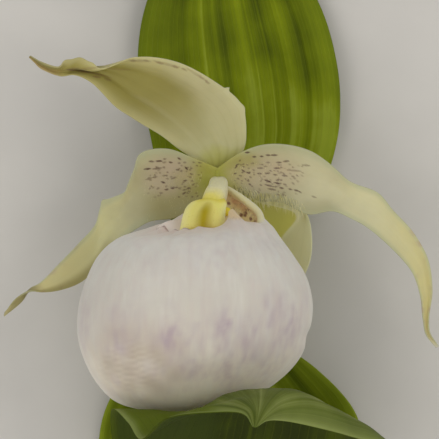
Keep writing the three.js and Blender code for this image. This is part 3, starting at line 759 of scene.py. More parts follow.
leftShape = {
    "rails": [
        [(0.5, -2.3, 0.1), (-5.2, -7.4, -0.6), (-10.5, -11, -0.4), (-16.5, -11.9, 0.8),
         (-20.3, -14, 1.2), (-23.8, -16.7, 0.6), (-27.4, -20.5, -0.6), (-30.5, -24.2, -1.4),
         (-33.7, -26.9, -1.6), (-38.3, -28.6, -0.6), (-42.7, -29.1, 1), (-45.6, -28.7, 2.6),
         (-48.8, -30.3, 3.6), (-51.7, -34.1, 4.2)],
        [(0.5, -0.7, 0.1), (-6.9, -1, -1), (-12.2, -2.3, -1.8), (-17.7, -3.5, -1.6),
         (-21.3, -6.7, -1.2), (-24, -10.6, -1.2), (-27.4, -14, -1.4), (-30.1, -18.5, -1.6),
         (-33.9, -22.2, -1.2), (-38.5, -25.6, -0.2), (-43, -27.9, 0.8), (-45.8, -28.6, 1.8),
         (-48.1, -30.8, 2.8), (-51.9, -34.5, 4.2)],
        [(0.5, 0.9, 0.1), (-6.8, 3.9, 1.6), (-12.7, 5.8, 1.4), (-19, 4.6, 1.2), (-20.8, 0.2, 0.4),
         (-23.3, -4.7, -0.4), (-28.1, -7.4, -1), (-29.9, -12.7, -1), (-34.1, -17.4, -0.4),
         (-38.9, -22.4, 0.4), (-43.3, -26.8, 0.8), (-45.8, -28.3, 0.8), (-47.8, -31.5, 1.8),
         (-51.8, -34.9, 4.2)],
    ],
    "origin": bloom, "grid": (84, 250), "dense": 1.25, "thickness": 0.5, "edgePart": 0.35,
    "bumps": [(0.457, 0.014, 8, (-0.3, 0.5, 0)), (0.375, 0.02, 5, (0.25, -0.3, 0))],
    "seed": 21,
    "blush": (-12.2, -1.2, 6.8, 5.6),    # x, y and the two half sizes
    # olive patches: strength, from and to across, then where it starts, is full, fades and ends along;
    # painted shade on the lower half of the broad part and on one side of the band, and the olive of all of
    # the tip
    "shade": [(0.6, (0.1, -0.6), (0.03, 0.1, 0.18, 0.28)), (0.8, (-0.2, -0.85), (0.38, 0.5, 0.75, 0.9)),
              (0.6, (-2, -1.5), (0.84, 0.93, 1.5, 2))],
    "freckles": freckles(70, 5, (-10.5, -1.6), (6.5, 4.4), 8),
    "marks": [(-16.2, 2.8, 0.6, 0, 0.8), (-14.4, 2.9, 0.7, 4, 1.0), (-13.0, 3.4, 0.3, 10, 0.7),
              (-17.2, 1.0, 0.8, 4, 1.0), (-14.9, 1.1, 1.0, 6, 0.8), (-13.2, 1.4, 0.3, 10, 0.6),
              (-9.4, 3.5, 0.4, -30, 1.0), (-11.5, 2.6, 0.35, -10, 1.0), (-7.7, 1.2, 0.45, -50, 1.0),
              (-6.5, 1.2, 0.25, 0, 0.7), (-9.8, 0.8, 0.35, 0, 0.9), (-15.4, -1.0, 0.5, 12, 0.8),
              (-10.7, -1.2, 0.7, 20, 0.6), (-16.9, -1.4, 0.8, 15, 0.5), (-13.4, -2.3, 0.55, -20, 1.0),
              (-7.9, -1.9, 0.35, 10, 0.9), (-6.7, -1.0, 0.25, 40, 0.7), (-16.6, -3.8, 0.3, 60, 0.6),
              (-14.6, -3.8, 0.3, 30, 0.8), (-12.5, -4.1, 0.4, 15, 1.0), (-11.0, -3.8, 0.4, 5, 1.0),
              (-10.1, -3.6, 0.3, 0, 0.8), (-7.2, -3.8, 0.4, 30, 0.8), (-8.2, -5.0, 0.45, 35, 0.8),
              (-13.9, -5.0, 0.4, 10, 0.6), (-6.0, -2.9, 0.3, 40, 0.7)],
}

rightShape = {
    "rails": [
        [(-0.5, 0.9, 0.2), (5.5, 4.9, 1.6), (10.7, 6.7, 1.6), (17, 6.7, 1.8), (22.4, 5.2, 2),
         (27.2, 2.1, 2), (32.1, -2.1, 1.6), (38.9, -4.9, 0.6), (42.6, -9.1, 0),
         (47.5, -14.4, -0.8), (51.2, -21.1, -1.8), (52.3, -28.7, -2.6), (51.5, -35.4, -3),
         (51.8, -39.1, -3), (53.8, -42.3, -3)],
        [(-0.5, -0.7, 0.2), (5.9, 0.8, -1), (10.6, 0.4, -2), (16.2, -0.2, -2), (22.3, -2.3, -1.4),
         (27.8, -3.7, -0.4), (32.6, -6.7, 0), (38.1, -9.6, -0.4), (41.8, -13, -1),
         (46.3, -17.9, -1.8), (49.4, -22.8, -2.6), (50.8, -29.5, -3.2), (50.7, -35.4, -3.6),
         (51.2, -39.2, -3.4), (53.6, -42.6, -3.2)],
        [(-0.5, -2.3, 0.2), (5.6, -4.8, -0.6), (10.1, -6.9, -0.8), (15.4, -7.3, -0.6),
         (21.9, -10.1, 1.4), (28.1, -9.4, 2), (33, -11.4, 1.4), (37, -13.9, 0.4),
         (40.6, -16.9, -0.4), (44.9, -21.2, -1.2), (47.6, -24.8, -2), (49.4, -30.5, -2.6),
         (49.9, -35.5, -3), (50.6, -39.4, -3), (53.3, -42.7, -3.2)],
    ],
    "origin": bloom, "grid": (84, 270), "dense": 1.25, "thickness": 0.5, "edgePart": 0.35,
    "seed": 22,
    "blush": (11.5, -0.8, 9.5, 5.2),
    # darker and greyer on the lobe of the lower margin and on the part before it
    "shade": [(0.35, (0.38, 0.75), (0.25, 0.285, 0.33, 0.4)), (0.5, (0.3, 0.8), (0.04, 0.1, 0.22, 0.27))],
    "freckles": freckles(110, 6, (12.5, -1.6), (8.5, 3.8), -19),
    "marks": [(7.1, 5.0, 0.45, 5, 1.0), (8.8, 4.0, 0.4, 0, 1.0), (10.6, 4.1, 0.3, 0, 1.0),
              (12.2, 4.4, 0.5, -5, 1.0), (13.7, 4.4, 0.7, 0, 1.0), (5.3, 3.1, 0.2, 60, 0.9),
              (4.4, 1.7, 0.55, 65, 1.0), (8.4, 2.4, 0.4, 10, 0.5), (12.2, 2.6, 0.4, 0, 0.5),
              (14.8, 2.6, 0.6, 0, 0.8), (16.6, 2.9, 0.7, 5, 0.8), (21.5, 1.9, 0.85, -5, 0.6),
              (10.3, 1.2, 0.7, 0, 0.7), (14.3, 1.2, 0.6, 0, 0.8), (18.5, 0.6, 1.7, -5, 0.5),
              (6.1, 0.5, 0.4, -40, 0.9), (4.1, -0.2, 0.25, 20, 0.8), (7.3, 0.0, 0.35, -20, 1.0),
              (10.1, -0.2, 0.5, -5, 0.8), (12.2, -0.1, 0.3, 0, 0.8), (14.0, -0.5, 0.4, -8, 0.8),
              (16.2, -0.7, 0.6, -8, 0.8), (12.2, -2.1, 0.8, -20, 1.0), (14.5, -2.6, 0.6, -15, 1.0),
              (16.3, -2.9, 0.4, -10, 0.6), (7.7, -2.9, 0.25, -30, 0.9), (12.5, -3.2, 1.1, -15, 0.8),
              (13.1, -4.1, 1.0, -10, 0.7), (15.5, -3.8, 0.4, -10, 0.9), (17.6, -4.1, 0.4, -10, 0.9),
              (19.1, -4.4, 0.6, -15, 1.0), (16.0, -5.5, 0.4, -10, 0.7), (23.4, -6.0, 0.6, -20, 0.5)],
}


def petalRelief(shape, across, along):
    seed = shape["seed"]
    ribs = 0.008 * np.cos(across * math.pi * 6) * np.sin(math.pi * along)
    edge = 0.4 * np.abs(across) ** 3 * roughField((along * 16, across * 0.6 + seed, 0), 1.6, seed)
    dish = 0.25 * roughField((along * 9, across * 1.2, 3), 1.3, seed)
    return ribs + edge * smoothStep(0, 0.15, along) + dish * stretch(along, 0, 0.2, 0.8, 1)


def petalReadings(shape, across, along, points):
    worn = smoothStep(0.0, 0.4, roughField(points, 1.8, 61)) * np.abs(across) ** 4    # rosy brown margins
    worn *= stretch(along, 0.55, 0.7, 0.9, 0.97)
    shade = 0
    for part, sideways, lengthways in shape["shade"]:
        shade = shade + part * smoothStep(*sideways, across) * stretch(along, *lengthways)
    return {
        "mark": np.maximum(0.9 * dashes(points, shape["marks"] + shape["freckles"], 0.21), 0.22 * worn),
        "blush": np.maximum(0.68 * smoothStep(1.25, 0.5, fromOval(points, *shape["blush"])), worn),
        "shade": shade,
    }


petalTissueLeft = petalTissue("left petal tissue", {
    "along": [(0.0, "#a6a634"), (0.07, "#b3ae64"), (0.13, "#b9b488"), (0.3, "#c3be95"), (0.5, "#dfdaa4"),
              (0.76, "#d0c891"), (0.88, "#978d5f"), (0.94, "#80764c"), (1.0, "#c0b89c")],
    "margin": "#b6ba96", "marginPart": 0.7, "vein": "#9d9560", "veinPart": 0.03, "veinCount": 9,
    "blush": "#c9b5a0", "deep": "#9a9258", "mark": "#573a2e",
})
petalTissueRight = petalTissue("right petal tissue", {
    "along": [(0.0, "#a6a634"), (0.07, "#b5b06a"), (0.13, "#c0ba92"), (0.3, "#cfcaa6"), (0.5, "#d6d1a6"),
              (0.8, "#d2c98c"), (0.93, "#c4b984"), (1.0, "#d2cdb6")],
    "margin": "#b4b892", "marginPart": 0.7, "vein": "#a39c66", "veinPart": 0.03, "veinCount": 9,
    "blush": "#c6b296", "deep": "#9e9a72", "mark": "#573b33",
})
leftSurface = bladePiece("dressedPetalLeft", leftShape, petalRelief, petalReadings, [petalTissueLeft],
                         "petal_left")
rightSurface = bladePiece("dressedPetalRight", rightShape, petalRelief, petalReadings, [petalTissueRight],
                          "petal_right")
print("petals")


# column and staminode

columnShape = {
    "line": [(0.1, -2.8, -0.8), (0.1, -3.5, 1.8), (-0.1, -4.6, 5.0), (-0.7, -6.0, 8.0), (-1.5, -8.0, 10.2),
             (-1.8, -9.9, 11.4)],
    "radii": [2.0, 2.3, 2.4, 2.6, 2.7, 1.6],
    "square": 0.1955,     # half of how far the corners of its section stand out
    "origin": bloom, "sides": 60, "steps": 80,
    "anthers": [(1.7, -9.5, 10.8), (-5.0, -9.1, 10.6)],
    "antherSize": (1.6, 1.15, 1.15),
}

staminodeShape = {
    "rails": [
        [(-3.2, -7.1, 10), (-5.9, -7.1, 12.2), (-7.5, -8.3, 13.8), (-8.4, -10.3, 15.4), (-8.9, -12.6, 16.8),
         (-9.3, -14.4, 17.4)],
        [(-1.2, -6.3, 10.4), (-1.6, -7.2, 12.6), (-2, -8.3, 14.1), (-2.8, -10.4, 16), (-3.2, -12.4, 17),
         (-3.4, -14.2, 17.2)],
        [(1.7, -6.8, 10), (2.1, -7.6, 11.9), (1.9, -8.7, 13.1), (1.7, -10.6, 14.6), (1.5, -12.6, 15.6),
         (1.1, -14, 16)],
    ],
    "origin": bloom, "grid": (84, 72), "thickness": 1.4, "edgePart": 0.3,
    "groove": -0.08,    # its place across
}


def columnRelief(shape, side, along):
    return shape["square"] * (1 - np.cos(side * math.pi * 4)) * smoothStep(0.9, 0.6, along)


def staminodeRelief(shape, across, along):
    opening = 0.08 + 0.22 * along      # the groove widens towards the lower edge
    groove = -0.6 * bell(across, shape["groove"], opening) * smoothStep(0.2, 0.6, along)
    cheeks = 0.45 * bell(np.abs(across - shape["groove"]), 0.55, 0.3) * np.sin(math.pi * np.clip(along, 0, 1))
    return groove + cheeks


def staminodeReadings(shape, across, along, points):
    middle = across - shape["groove"]
    groove = np.exp(-(np.abs(middle / (0.05 + 0.36 * along)) ** 2.2)) * smoothStep(0.24, 0.6, along)
    return {
        "mark": 0.12 * smoothStep(0.35, 0.6, roughField(points, 0.45, 31)) * smoothStep(0.3, 0.6, along),
        "blush": 0.9 * smoothStep(0.3, 0.1, along),
        "shade": groove * (0.65 + 0.35 * bell(middle, 0, 0.14)),
    }


columnFlesh = fleshTissue("column flesh", {
    "along": [(0.05, "#dcd8a0"), (0.2, "#f2eecc"), (0.58, "#f4efc2"), (0.74, "#f5e97e"), (0.86, "#f0e14c")],
    "rib": "#f0ecd2", "ribPart": 0.25, "ribCount": 2, "deep": "#c0b45c",
})
antherFlesh = fleshTissue("anther flesh", {
    "along": [(0.0, "#f0de40"), (1.0, "#f4e65a")],
    "rib": "#f4e65a", "ribPart": 0.1, "ribCount": 2, "deep": "#c0a830",
})
staminodeTissue = petalTissue("staminode tissue", {
    "along": [(0.0, "#f2e250"), (0.3, "#f8ee80"), (1.0, "#f8ef90")],
    "margin": "#faf5b8", "marginPart": 0.5, "vein": "#dccb58", "veinPart": 0.1, "veinCount": 7,
    "blush": "#f0e040", "deep": "#b9a606", "mark": "#9b6a3c",
})
columnMesh = stalkGrid(columnShape, columnRelief, noReading)[0]
for middle in columnShape["anthers"]:
    # a small yellow anther on either side, half hidden under the shield
    size = [half * mm for half in columnShape["antherSize"]]
    place = Matrix.Translation((bloom + middle) * mm) @ Matrix.Diagonal((*size, 1))
    made = bmesh.ops.create_icosphere(columnMesh, subdivisions=3, radius=1, matrix=place)["verts"]
    for face in {face for vertex in made for face in vertex.link_faces}:
        face.smooth = True
        face.material_index = 1
makePiece("dressedColumn", columnMesh, [columnFlesh, antherFlesh], "column")
bladePiece("dressedStaminode", staminodeShape, staminodeRelief, staminodeReadings,
           [staminodeTissue], "staminode")
print("column and staminode")


# lip: the hollow pouch

pouchShape = {
    # place round the rim from the front, then x, y, z; the front left of the rim is crinkled
    "mouth": [(0, -3, -13.2, 21), (0.026, -0.9, -13.3, 20.7), (0.048, 1.2, -12.4, 20),
              (0.062, 2.3, -10.9, 18.6), (0.077, 2.5, -9.4, 17), (0.093, 3.2, -8.7, 16.4),
              (0.109, 4.1, -9.3, 16.6), (0.121, 4.4, -10.7, 17.1), (0.142, 5.4, -11.5, 17),
              (0.25, 9.2, -12, 14.8), (0.285, 10.5, -11.5, 13), (0.312, 10.9, -10.2, 11.4),
              (0.345, 10.4, -8.8, 9.8), (0.375, 9.2, -7.5, 8.4), (0.438, 5.4, -4.7, 4.8),
              (0.5, 1.2, -2.9, 1.2), (0.562, -2.4, -5.2, 3.4), (0.625, -5.2, -8.3, 7.2),
              (0.688, -8.2, -11, 10.8), (0.75, -11.9, -11.7, 13.6), (0.8, -14, -13, 16),
              (0.828, -14, -13.7, 17.8), (0.848, -12.8, -12.7, 18.6), (0.87, -11.2, -14.2, 19.4),
              (0.888, -10, -13.5, 19.9), (0.905, -9.2, -13.9, 20.2), (0.93, -7.8, -13.2, 20.6),
              (0.952, -6.2, -13.7, 20.9), (0.975, -4.7, -13, 21)],
    "shoulder": [(-3.5, -14.3, 27), (5, -13.2, 25), (10.5, -12.7, 20), (12.6, -12.8, 13), (11, -11.5, 6),
                 (7, -9.8, 0.8), (-0.5, -8.8, -1.6), (-8, -10.4, 0.6), (-13.5, -12.6, 5),
                 (-17.5, -13.9, 12), (-16.5, -14.8, 20), (-11, -15.2, 25.5)],
    # y of the level, x of its centre, half width, z of its centre, half depth
    "levels": [(-15.8, -4.4, 19.4, 14, 17.4), (-19.7, -5.2, 23.2, 14.6, 20),
               (-25.2, -5.1, 26.3, 15, 21.6), (-32, -5.3, 28.1, 15.2, 22),
               (-39.1, -5.9, 27.7, 15.4, 21.6), (-44.6, -6.3, 26, 15.4, 20.4),
               (-50.2, -7.5, 21.9, 15.4, 17.2), (-54.6, -8.8, 16.4, 15.4, 12.8),
               (-56.8, -9.6, 9.6, 15.4, 7.6)],
    "foot": (-9.8, -57.4, 15.4),
    "grid": (240, 112),
    "rollShare": 0.13,      # share of the rows that curl over the rim and down inside
    "roll": 0.4, "foldRoll": 0.85,      # radius of the curl, and on the right fold
    "tail": 2.4,      # how far the rim runs inside
    "flap": (0.5, -14.4, 16.4),      # the left of the rim leans in towards here: x from its root, y, z
    "wall": 0.8, "edgePart": 0.35,
    # height and size of its low lumps, then height and number of its upright ribs and its rim's wrinkles
    "lumps": (0.22, 11.0), "ribs": (0.018, 38), "wrinkles": (0.13, 24), "rippleHeight": 0.065,
    # ovals: x, y, half width, half height; the tan one is partly a tan tint, partly painted shade
    "ripples": (-20.5, -46.0, 9.0, 7.0), "tan": (-19.5, -46.0, 11, 9),
    "dent": (21.5, -39.5, 3.0, 3.2), "dentDepth": 0.45,
    # stretches of the rim: the middle and half the length, as a place round the rim
    "fold": (0.32, 0.185), "leftFlap": (0.748, 0.11), "crinkled": (0.88, 0.12), "marked": (0.9, 0.12),
    "slopeShadow": (0.117, 0.018), "seamShadow": (0.095, 0.055), "peachLobe": (0.095, 0.045),
    "gold": (0.35, 0.2), "notPink": (0.35, 0.22),
    # soft mauve blotches: x, y, half width, half height, strength
    "blotches": [(-11.5, -40.5, 2.2, 2.6, 0.9), (-23.5, -40.3, 2.6, 2.6, 0.55),
                 (-22.5, -34.5, 3.0, 2.0, 0.35), (1.0, -38.0, 1.5, 3.2, 0.9),
                 (2.2, -46.5, 1.6, 4.0, 0.6), (7.5, -41.0, 2.4, 4.0, 0.7), (11.0, -46.0, 2.4, 4.0, 0.45),
                 (-6.2, -46.5, 2.0, 1.6, 0.7), (13.6, -34.0, 2.0, 3.6, 0.7),
                 (17.0, -36.5, 1.6, 2.6, 0.8), (14.5, -40.5, 3.4, 2.4, 0.5), (3.0, -49.0, 1.6, 1.6, 0.6),
                 (-32.0, -36.0, 1.0, 4.0, 0.4), (-14.0, -47.0, 4.5, 2.0, 0.35),
                 (1.5, -18.5, 2.0, 4.0, 0.3), (-5.5, -20.0, 3.0, 4.0, 0.25),
                 (-14.5, -22.0, 3.0, 3.0, 0.2), (12.0, -17.0, 4.0, 1.6, 0.3)],
}


def readMouth(turn):
    table = np.array(pouchShape["mouth"], float)
    place = np.interp(turn % 1.0, np.append(table[:, 0], 1.0), np.arange(len(table) + 1)) / len(table)
    return readLine(table[:, 1:], place, closed=True)


def pouchOuter(turn, down):
    mouth = readMouth(turn)
    shoulder = readLine(pouchShape["shoulder"], turn, closed=True)
    stations = [mouth, shoulder]
    angle = turn * 2 * math.pi
    for y, x, halfWidth, z, halfDepth in pouchShape["levels"]:
        ring = (x + halfWidth * np.sin(angle), np.full(len(turn), y), z + halfDepth * np.cos(angle))
        stations.append(np.stack(ring, axis=1))
    stations.append(np.tile(np.array(pouchShape["foot"], float), (len(turn), 1)))
    return readStations(np.stack(stations), down)


def turnBand(turn, middle, half):
    # 1 in the middle of a stretch of the rim, 0 outside it
    away = np.abs((turn - middle + 0.5) % 1.0 - 0.5)
    return smoothStep(half, half * 0.35, away)


def buildPouch():
    bm, u, v = startGrid(*pouchShape["grid"])
    turn = 0.5 + 0.5 * (1 - u)
    share = pouchShape["rollShare"]
    fold = turnBand(turn, *pouchShape["fold"])
    roll = pouchShape["roll"] + (pouchShape["foldRoll"] - pouchShape["roll"]) * fold
    mouth = readMouth(turn)
    shoulder = readLine(pouchShape["shoulder"], turn, closed=True)
    firstSpan = np.linalg.norm(shoulder - mouth, axis=1)
    top = roll / firstSpan / (len(pouchShape["levels"]) + 2)
    part = np.clip((v - share) / (1 - share), 0, 1)
    down = top + (1 - top) * part ** 1.15

    def outward(t, d):
        return -normalsOf(pouchOuter, t, d, wrapped=True, step=0.003)

    points = pouchOuter(turn, down)
    normal = outward(turn, np.clip(down, 0, 0.985))
    # low lumps, faint upright ribs, wrinkles that fan out from the rim, ripples low on the left
    near = stretch(down, 0.0, 0.06, 0.85, 1.0)
    fan = stretch(down, 0.02, 0.07, 0.12, 0.3)
    height, size = pouchShape["lumps"]
    relief = height * roughField(points, size, 41) * near
    for name, size, seed, where in (("ribs", 9.0, 42, near), ("wrinkles", 7.0, 43, fan)):
        height, count = pouchShape[name]
        relief += height * np.cos(turn * 2 * math.pi * count + 3.0 * roughField(points, size, seed)) * where
    front = smoothStep(12, 20, points[:, 2])
    ripple = np.sin(points[:, 1] * 4.6 + points[:, 0] * 1.1 + 2.4 * roughField(points, 3.0, 44))
    ripple *= smoothStep(1.1, 0.4, fromOval(points, *pouchShape["ripples"])) * front
    relief += pouchShape["rippleHeight"] * ripple
    relief -= pouchShape["dentDepth"] * smoothStep(1.0, 0.0, fromOval(points, *pouchShape["dent"]))
    points = points + normal * relief[:, None]

    # the rim curls over and runs a little way down inside
    rimPoint = pouchOuter(turn, top)
    rimOut = outward(turn, top)
    rimUp = pouchOuter(turn, np.maximum(top - 0.003, 0)) - pouchOuter(turn, top + 0.003)
    rimUp /= np.linalg.norm(rimUp, axis=1, keepdims=True)
    crinkle = roughField((turn * 150, 0, 0), 2.0, 45)
    crinkle *= 0.1 + 0.35 * turnBand(turn, *pouchShape["crinkled"])
    flap = turnBand(turn, *pouchShape["leftFlap"])      # the left rim leans into the mouth as a pale flap
    centre = rimPoint - rimOut * roll[:, None] + rimUp * (crinkle * 0.6)[:, None]
    back = np.clip(1 - v / share, 0, 1)       # 0 at the outside, 1 at the inner end
    lastAngle = math.pi * (1.05 - 0.68 * flap)
    angle = np.minimum(back / 0.5, 1) * lastAngle
    curl = rimOut * np.cos(angle)[:, None] + rimUp * np.sin(angle)[:, None]
    ahead = rimUp * np.cos(lastAngle)[:, None] - rimOut * np.sin(lastAngle)[:, None]
    leanX, leanY, leanZ = pouchShape["flap"]
    lean = np.stack(np.broadcast_arrays(rimPoint[:, 0] + leanX, leanY, leanZ), axis=1) - rimPoint
    reach = np.linalg.norm(lean, axis=1)
    ahead = ahead * (1 - flap)[:, None] + lean / reach[:, None] * flap[:, None]
    tail = pouchShape["tail"] * (1 - flap) * (1 - 0.65 * fold) + 1.04 * reach * flap
    tail = tail * np.maximum(back - 0.5, 0) / 0.5
    curled = centre + curl * roll[:, None] + ahead * tail[:, None]
    inRoll = v < share
    points[inRoll] = curled[inRoll]

    x, y = points[:, 0], points[:, 1]
    blush = 0.32 * smoothStep(-0.05, 0.5, roughField(points, 5.0, 48)) * smoothStep(-22, -34, y)
    ragged = 1.3 * roughField(points, 1.6, 49)
    for spotX, spotY, halfX, halfY, strength in pouchShape["blotches"]:
        far = np.hypot((x - spotX + ragged) / halfX, (y - spotY + 1.4 * ragged) / halfY)
        blush = np.maximum(blush, strength * np.exp(-far**2 * 0.3))
    streaked = roughField(points * (1.0, 0.4, 1.0), 1.3, 46)
    blush *= smoothStep(14, 20, points[:, 2]) * (0.8 + 0.8 * streaked)
    back *= inRoll
    # brown marks along the crinkled rim; painted shadow down the slope of the lobe and in the seam under it
    line = bell(v, share + 0.004, 0.01) * turnBand(turn, *pouchShape["marked"])
    line *= 0.55 + 0.45 * smoothStep(-0.3, 0.2, roughField((turn * 110, 0, 0), 1.0, 47))
    slopeShadow = bell(v, share + 0.012, 0.012) * turnBand(turn, *pouchShape["slopeShadow"])
    line = np.maximum(line, 0.8 * slopeShadow)
    seamShadow = bell(y + 0.25 * np.sin(x * 3), -11.2, 0.14) * turnBand(turn, *pouchShape["seamShadow"])
    line = np.maximum(line, 0.3 * seamShadow * (v < 0.4))
    # a tan tint with painted shade low on the left; the ripples add painted shading as light and dark lines
    tan = smoothStep(1.7, 0.3, fromOval(points, *pouchShape["tan"])) * front
    readings = {
        "blush": np.clip(blush, 0, 1),
        "tan": np.clip(tan * (0.75 + 0.5 * roughField(points, 4.0, 50)) + 0.16 * ripple, 0, 1),
        "mark": line,
        "gold": turnBand(turn, *pouchShape["gold"]) * smoothStep(share + 0.045, share * 0.7, v),
        "inner": smoothStep(0.55, 0.9, back) * (1 - flap),
        "pink": smoothStep(share + 0.2, share, v) * (1 - turnBand(turn, *pouchShape["notPink"])),
        "peach": turnBand(turn, *pouchShape["peachLobe"]) * smoothStep(-11.7, -10.8, y),
        "pale": flap * inRoll,
    }
    thin = smoothStep(share * 1.1, share + 0.2, v)
    shapeGrid(bm, points + bloom, turn, v, readings, thin)
    bmesh.ops.remove_doubles(bm, verts=bm.verts, dist=0.01 * mm)
    piece = makePiece("dressedLip", bm, [lipTissue(), lipInside()], "lip")
    giveThickness(piece, pouchShape["wall"], pouchShape["edgePart"], -1, 1)      # the wall grows inwards


def lipTissue():
    # waxy pouch wall: near white, faintly green above and beige lower down, mauve blotches; lighter again at
    # the foot as painted light against the front leaf's shade
    # uneven over 11 mm, with a grain of 0.8 mm
    material, tree, parts, soft, fine = startTissue("lip tissue", 90, 1300)
    place = addNode(tree, "TexCoord").outputs["Object"]
    spots = addNode(tree, "SeparateXYZ", links={0: place}).outputs
    height = addNode(tree, "MapRange", {"From Min": 0.092, "From Max": 0.140}, {"Value": spots[1]})
    # lightest at the foot: painted light against the shade that the front leaf casts on the pouch's lower
    # side
    body = toneRamp(tree, height, soft, 0.3, [
        (0.0, "#fff6de"), (0.18, "#f6ecd8"), (0.36, "#ded7c9"), (0.6, "#d7d2c6"), (0.85, "#e4e1d6"),
        (1.0, "#e8dfd6")])
    vein = veinLines(tree, parts, soft, 0.02, 92, 0.4)      # upright, barely darker than the wall
    # soft streaks 2.4 mm wide and 18 mm long from rim to foot, some greenish white, some a little rosy
    upright = addNode(tree, "Mapping", {"Scale": (420, 55, 420)}, {"Vector": place})
    streak = addNode(tree, "TexNoise", {"Scale": 1, "Detail": 3}, {"Vector": upright})
    light = addNode(tree, "MapRange", {"From Min": 0.48, "From Max": 0.3, "To Max": 0.2}, {"Value": streak})
    rosy = addNode(tree, "MapRange", {"From Min": 0.52, "From Max": 0.75, "To Max": 0.3}, {"Value": streak})
    # the tan layer is a tan tint with painted shade; the dark mark layer holds brown rim marks and painted
    # shadow lines beside the lobe
    body = layColours(tree, body, [
        (vein, 0.05, "#c4bda6"), (light, 1, "#f2f3ea"), (rosy, 1, "#d3c1bd"), ("pink", 0.75, "#e0c6b8"),
        ("tan", 1, "#c2b59f"), ("blush", 0.72, "#b09aaa"), ("gold", 1, "#f0e8ae"), ("peach", 1, "#ecca96"),
        ("pale", 1, "#fdeee4"), ("inner", 1, "#f0dcb4"), ("mark", 1, "#6a4440")])
    finishMaterial(tree, body, {
        "Subsurface Weight": 0.3, "Subsurface Scale": 3 * mm, "Subsurface Radius": (1.0, 0.75, 0.6),
        "Specular IOR Level": 0.36, "Sheen Weight": 0.45, "Sheen Roughness": 0.6,
    }, rough=(soft, 0.4, 0.56), bump=(fine, 0.12, 0.2))
    return material


def lipInside():
    # the pouch's lining: brown-pink, freckled with purple about every 1.4 mm; its ramp is lighter than the
    # real lining, painted light for the daylight that comes through the thin wall
    material, tree, place, soft = startMaterial("lip lining", 220)
    body = addNode(tree, "ValToRGB", {"stops": [(0.34, "#bc9c78"), (0.46, "#ceb888"), (0.6, "#dad09c"),
                                                (0.8, "#e6e0ba")]}, {0: soft})
    freckle = addNode(tree, "TexVoronoi", {"Scale": 700}, {"Vector": place})
    freckle = addNode(tree, "MapRange", {"From Min": 0.22, "From Max": 0.46, "To Min": 0.85, "To Max": 0.0},
                      {"Value": freckle})
    patch = addNode(tree, "MapRange", {"From Min": 0.4, "From Max": 0.55}, {"Value": soft})
    freckle = addNode(tree, "Math", {"operation": "MULTIPLY"}, {0: freckle, 1: patch})
    # a faint glow stands for the daylight that comes through the thin wall
    finishMaterial(tree, layColours(tree, body, [(freckle, 1, "#6a3f3c")]), {
        "Roughness": 0.55, "Subsurface Weight": 0.15, "Subsurface Scale": 2 * mm,
        "Specular IOR Level": 0.3, "Emission Strength": 0.19,
    })
    return material


buildPouch()
print("lip")


# hairs

hairRandom = random.Random(7)


def growHairs(surface, count, across, along, length, look):
    # hairs at random places of a surface, none where it lies on the table
    side = np.array([hairRandom.uniform(*across) for _ in range(count)])
    place = np.array([hairRandom.uniform(*along) for _ in range(count)])
    normals = normalsOf(surface, side, place, wrapped=look["wrapped"])
    roots = surface(side, place) + normals * look.get("lift", 0) + look.get("origin", np.zeros(3))
    hairs = []
    for root, normal in zip(roots, normals):
        if root[2] + normal[2] < hairRest:
            continue
        if look.get("faceUp") and normal[2] < 0:
            normal = -normal
        stray = np.array([hairRandom.uniform(-look["stray"], look["stray"]) for _ in range(3)])
        direction = normal * look.get("upright", 1) + np.array(look["lean"]) + stray
        hairs.append((root, direction, look["sag"], hairRandom.uniform(*length), look["radius"]))
    return hairs


petalHair = hairTissue("petal hair", "#e2dc98", "#f2ecc0")
greenHair = hairTissue("stalk hair", "#a8b06e", "#d4d8b0")
liningHair = hairTissue("lining hair", "#b89c78", "#e3d5be")
# upright: share of the skin's normal in a hair's direction; lean: what is added to it, as is a random
# stray; sag: how its tip bends away; wrapped: the surface closes on itself
fuzz = {"wrapped": False, "faceUp": True, "origin": bloom, "upright": 0.5, "stray": 0.35,
        "sag": (0.0, -0.25, -0.15), "radius": 0.026}
fringe = {**fuzz, "lean": (0.2, -1.0, 0.35), "radius": 0.06}
# on the pouch's back wall, below its right fold, lifted to its inner face
lining = {"wrapped": True, "lift": 0.75, "origin": bloom, "stray": 0.4, "lean": (0, 0, 0),
          "sag": (0.0, -0.2, 0.1), "radius": 0.04}
stalkFuzz = {"wrapped": True, "stray": 0.4, "sag": (0.0, 0.1, 0.0), "radius": 0.03}

rightHairs = growHairs(rightSurface, 240, (0.66, 1.0), (0.05, 0.27), (2.0, 3.4), fringe)
rightHairs += growHairs(rightSurface, 150, (-0.4, 0.8), (0.04, 0.2), (0.6, 1.2),
                         {**fuzz, "lean": (0.1, -0.8, 0.1)})
leftHairs = growHairs(leftSurface, 200, (-0.95, 0.4), (0.04, 0.24), (0.6, 1.3),
                      {**fuzz, "lean": (-0.1, -0.8, 0.1)})
liningHairs = growHairs(pouchOuter, 220, (0.3, 0.52), (0.02, 0.14), (0.9, 2.0), lining)
stemHairs = growHairs(stemSurface, 700, (-1, 1), (0.02, 0.99), (0.4, 0.8),
                      {**stalkFuzz, "lean": (0, 0.2, 0)})
ovaryHairs = growHairs(ovarySurface, 420, (-1, 1), (0.02, 0.9), (0.4, 0.8),
                       {**stalkFuzz, "lean": (0, 0.3, 0)})
hairPiece("petalHairsRight", rightHairs, petalHair, "petal_right")
hairPiece("petalHairsLeft", leftHairs, petalHair, "petal_left")
hairPiece("liningHairs", liningHairs, liningHair, "lip")
hairPiece("stemHairs", stemHairs, greenHair, "stem")
hairPiece("ovaryHairs", ovaryHairs, greenHair, "ovary")
print("hairs")


# floor, light and camera

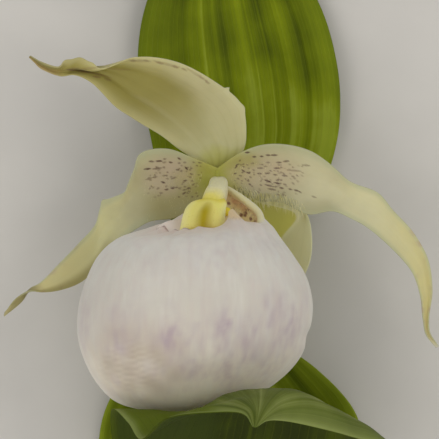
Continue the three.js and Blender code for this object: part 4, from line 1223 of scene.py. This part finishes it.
# in metres; every lamp is a round softbox that faces the flower: its place and its power
studio = {
    "floorSize": 1.6,
    "lamps": {"left softbox": ((-0.7, 0.3, 1.0), 2.3), "right softbox": ((0.72, 0.2, 1.0), 2.6),
              "low softbox": ((0.1, -0.65, 0.85), 2.9)},
    "lampSize": 0.8, "lampColour": "#fffaf2", "faces": (0, 0.13, 0.03),
    "roomColour": "#d7d8da", "roomStrength": 0.64,
    "camera": (0.36 * mm, 138.6 * mm, 1130 * mm), "sensor": 36,
    "lens": 370.7,     # 105.4 mm fill the frame at the height of the pouch's widest ring
}


def buildStage():
    bm = bmesh.new()
    bmesh.ops.create_grid(bm, x_segments=2, y_segments=2, size=studio["floorSize"])
    mesh = bpy.data.meshes.new("floor")
    bm.to_mesh(mesh)
    bm.free()
    floor = bpy.data.objects.new("floor", mesh)
    bpy.context.scene.collection.objects.link(floor)
    # matt painted board, pale warm grey, faintly uneven over 17 mm
    mesh.materials.append(plainMaterial("matt board", 60, 4, [(0.2, "#d6d3cd"), (0.8, "#dcd9d3")],
                                        {"Roughness": 0.9, "Specular IOR Level": 0.1}))


def addLamp(name, place, power):
    data = bpy.data.lights.new(name, "AREA")
    data.shape = "DISK"
    data.size = studio["lampSize"]
    data.energy = power
    data.color = hexColour(studio["lampColour"])[:3]
    lamp = bpy.data.objects.new(name, data)
    lamp.location = place
    lamp.rotation_euler = (Vector(studio["faces"]) - Vector(place)).to_track_quat("-Z", "Y").to_euler()
    bpy.context.scene.collection.objects.link(lamp)


buildStage()
for lampName, (lampPlace, lampPower) in studio["lamps"].items():
    addLamp(lampName, lampPlace, lampPower)

world = bpy.data.worlds.new("room")
world.use_nodes = True
backdrop = world.node_tree.nodes["Background"].inputs
backdrop["Color"].default_value = hexColour(studio["roomColour"])
backdrop["Strength"].default_value = studio["roomStrength"]
bpy.context.scene.world = world

cameraData = bpy.data.cameras.new("camera")
cameraData.sensor_width = studio["sensor"]
cameraData.lens = studio["lens"]
cameraData.clip_end = 10
camera = bpy.data.objects.new("camera", cameraData)
camera.location = studio["camera"]
bpy.context.scene.collection.objects.link(camera)
bpy.context.scene.camera = camera
bpy.context.scene.view_settings.view_transform = "Standard"
print("floor, light and camera")
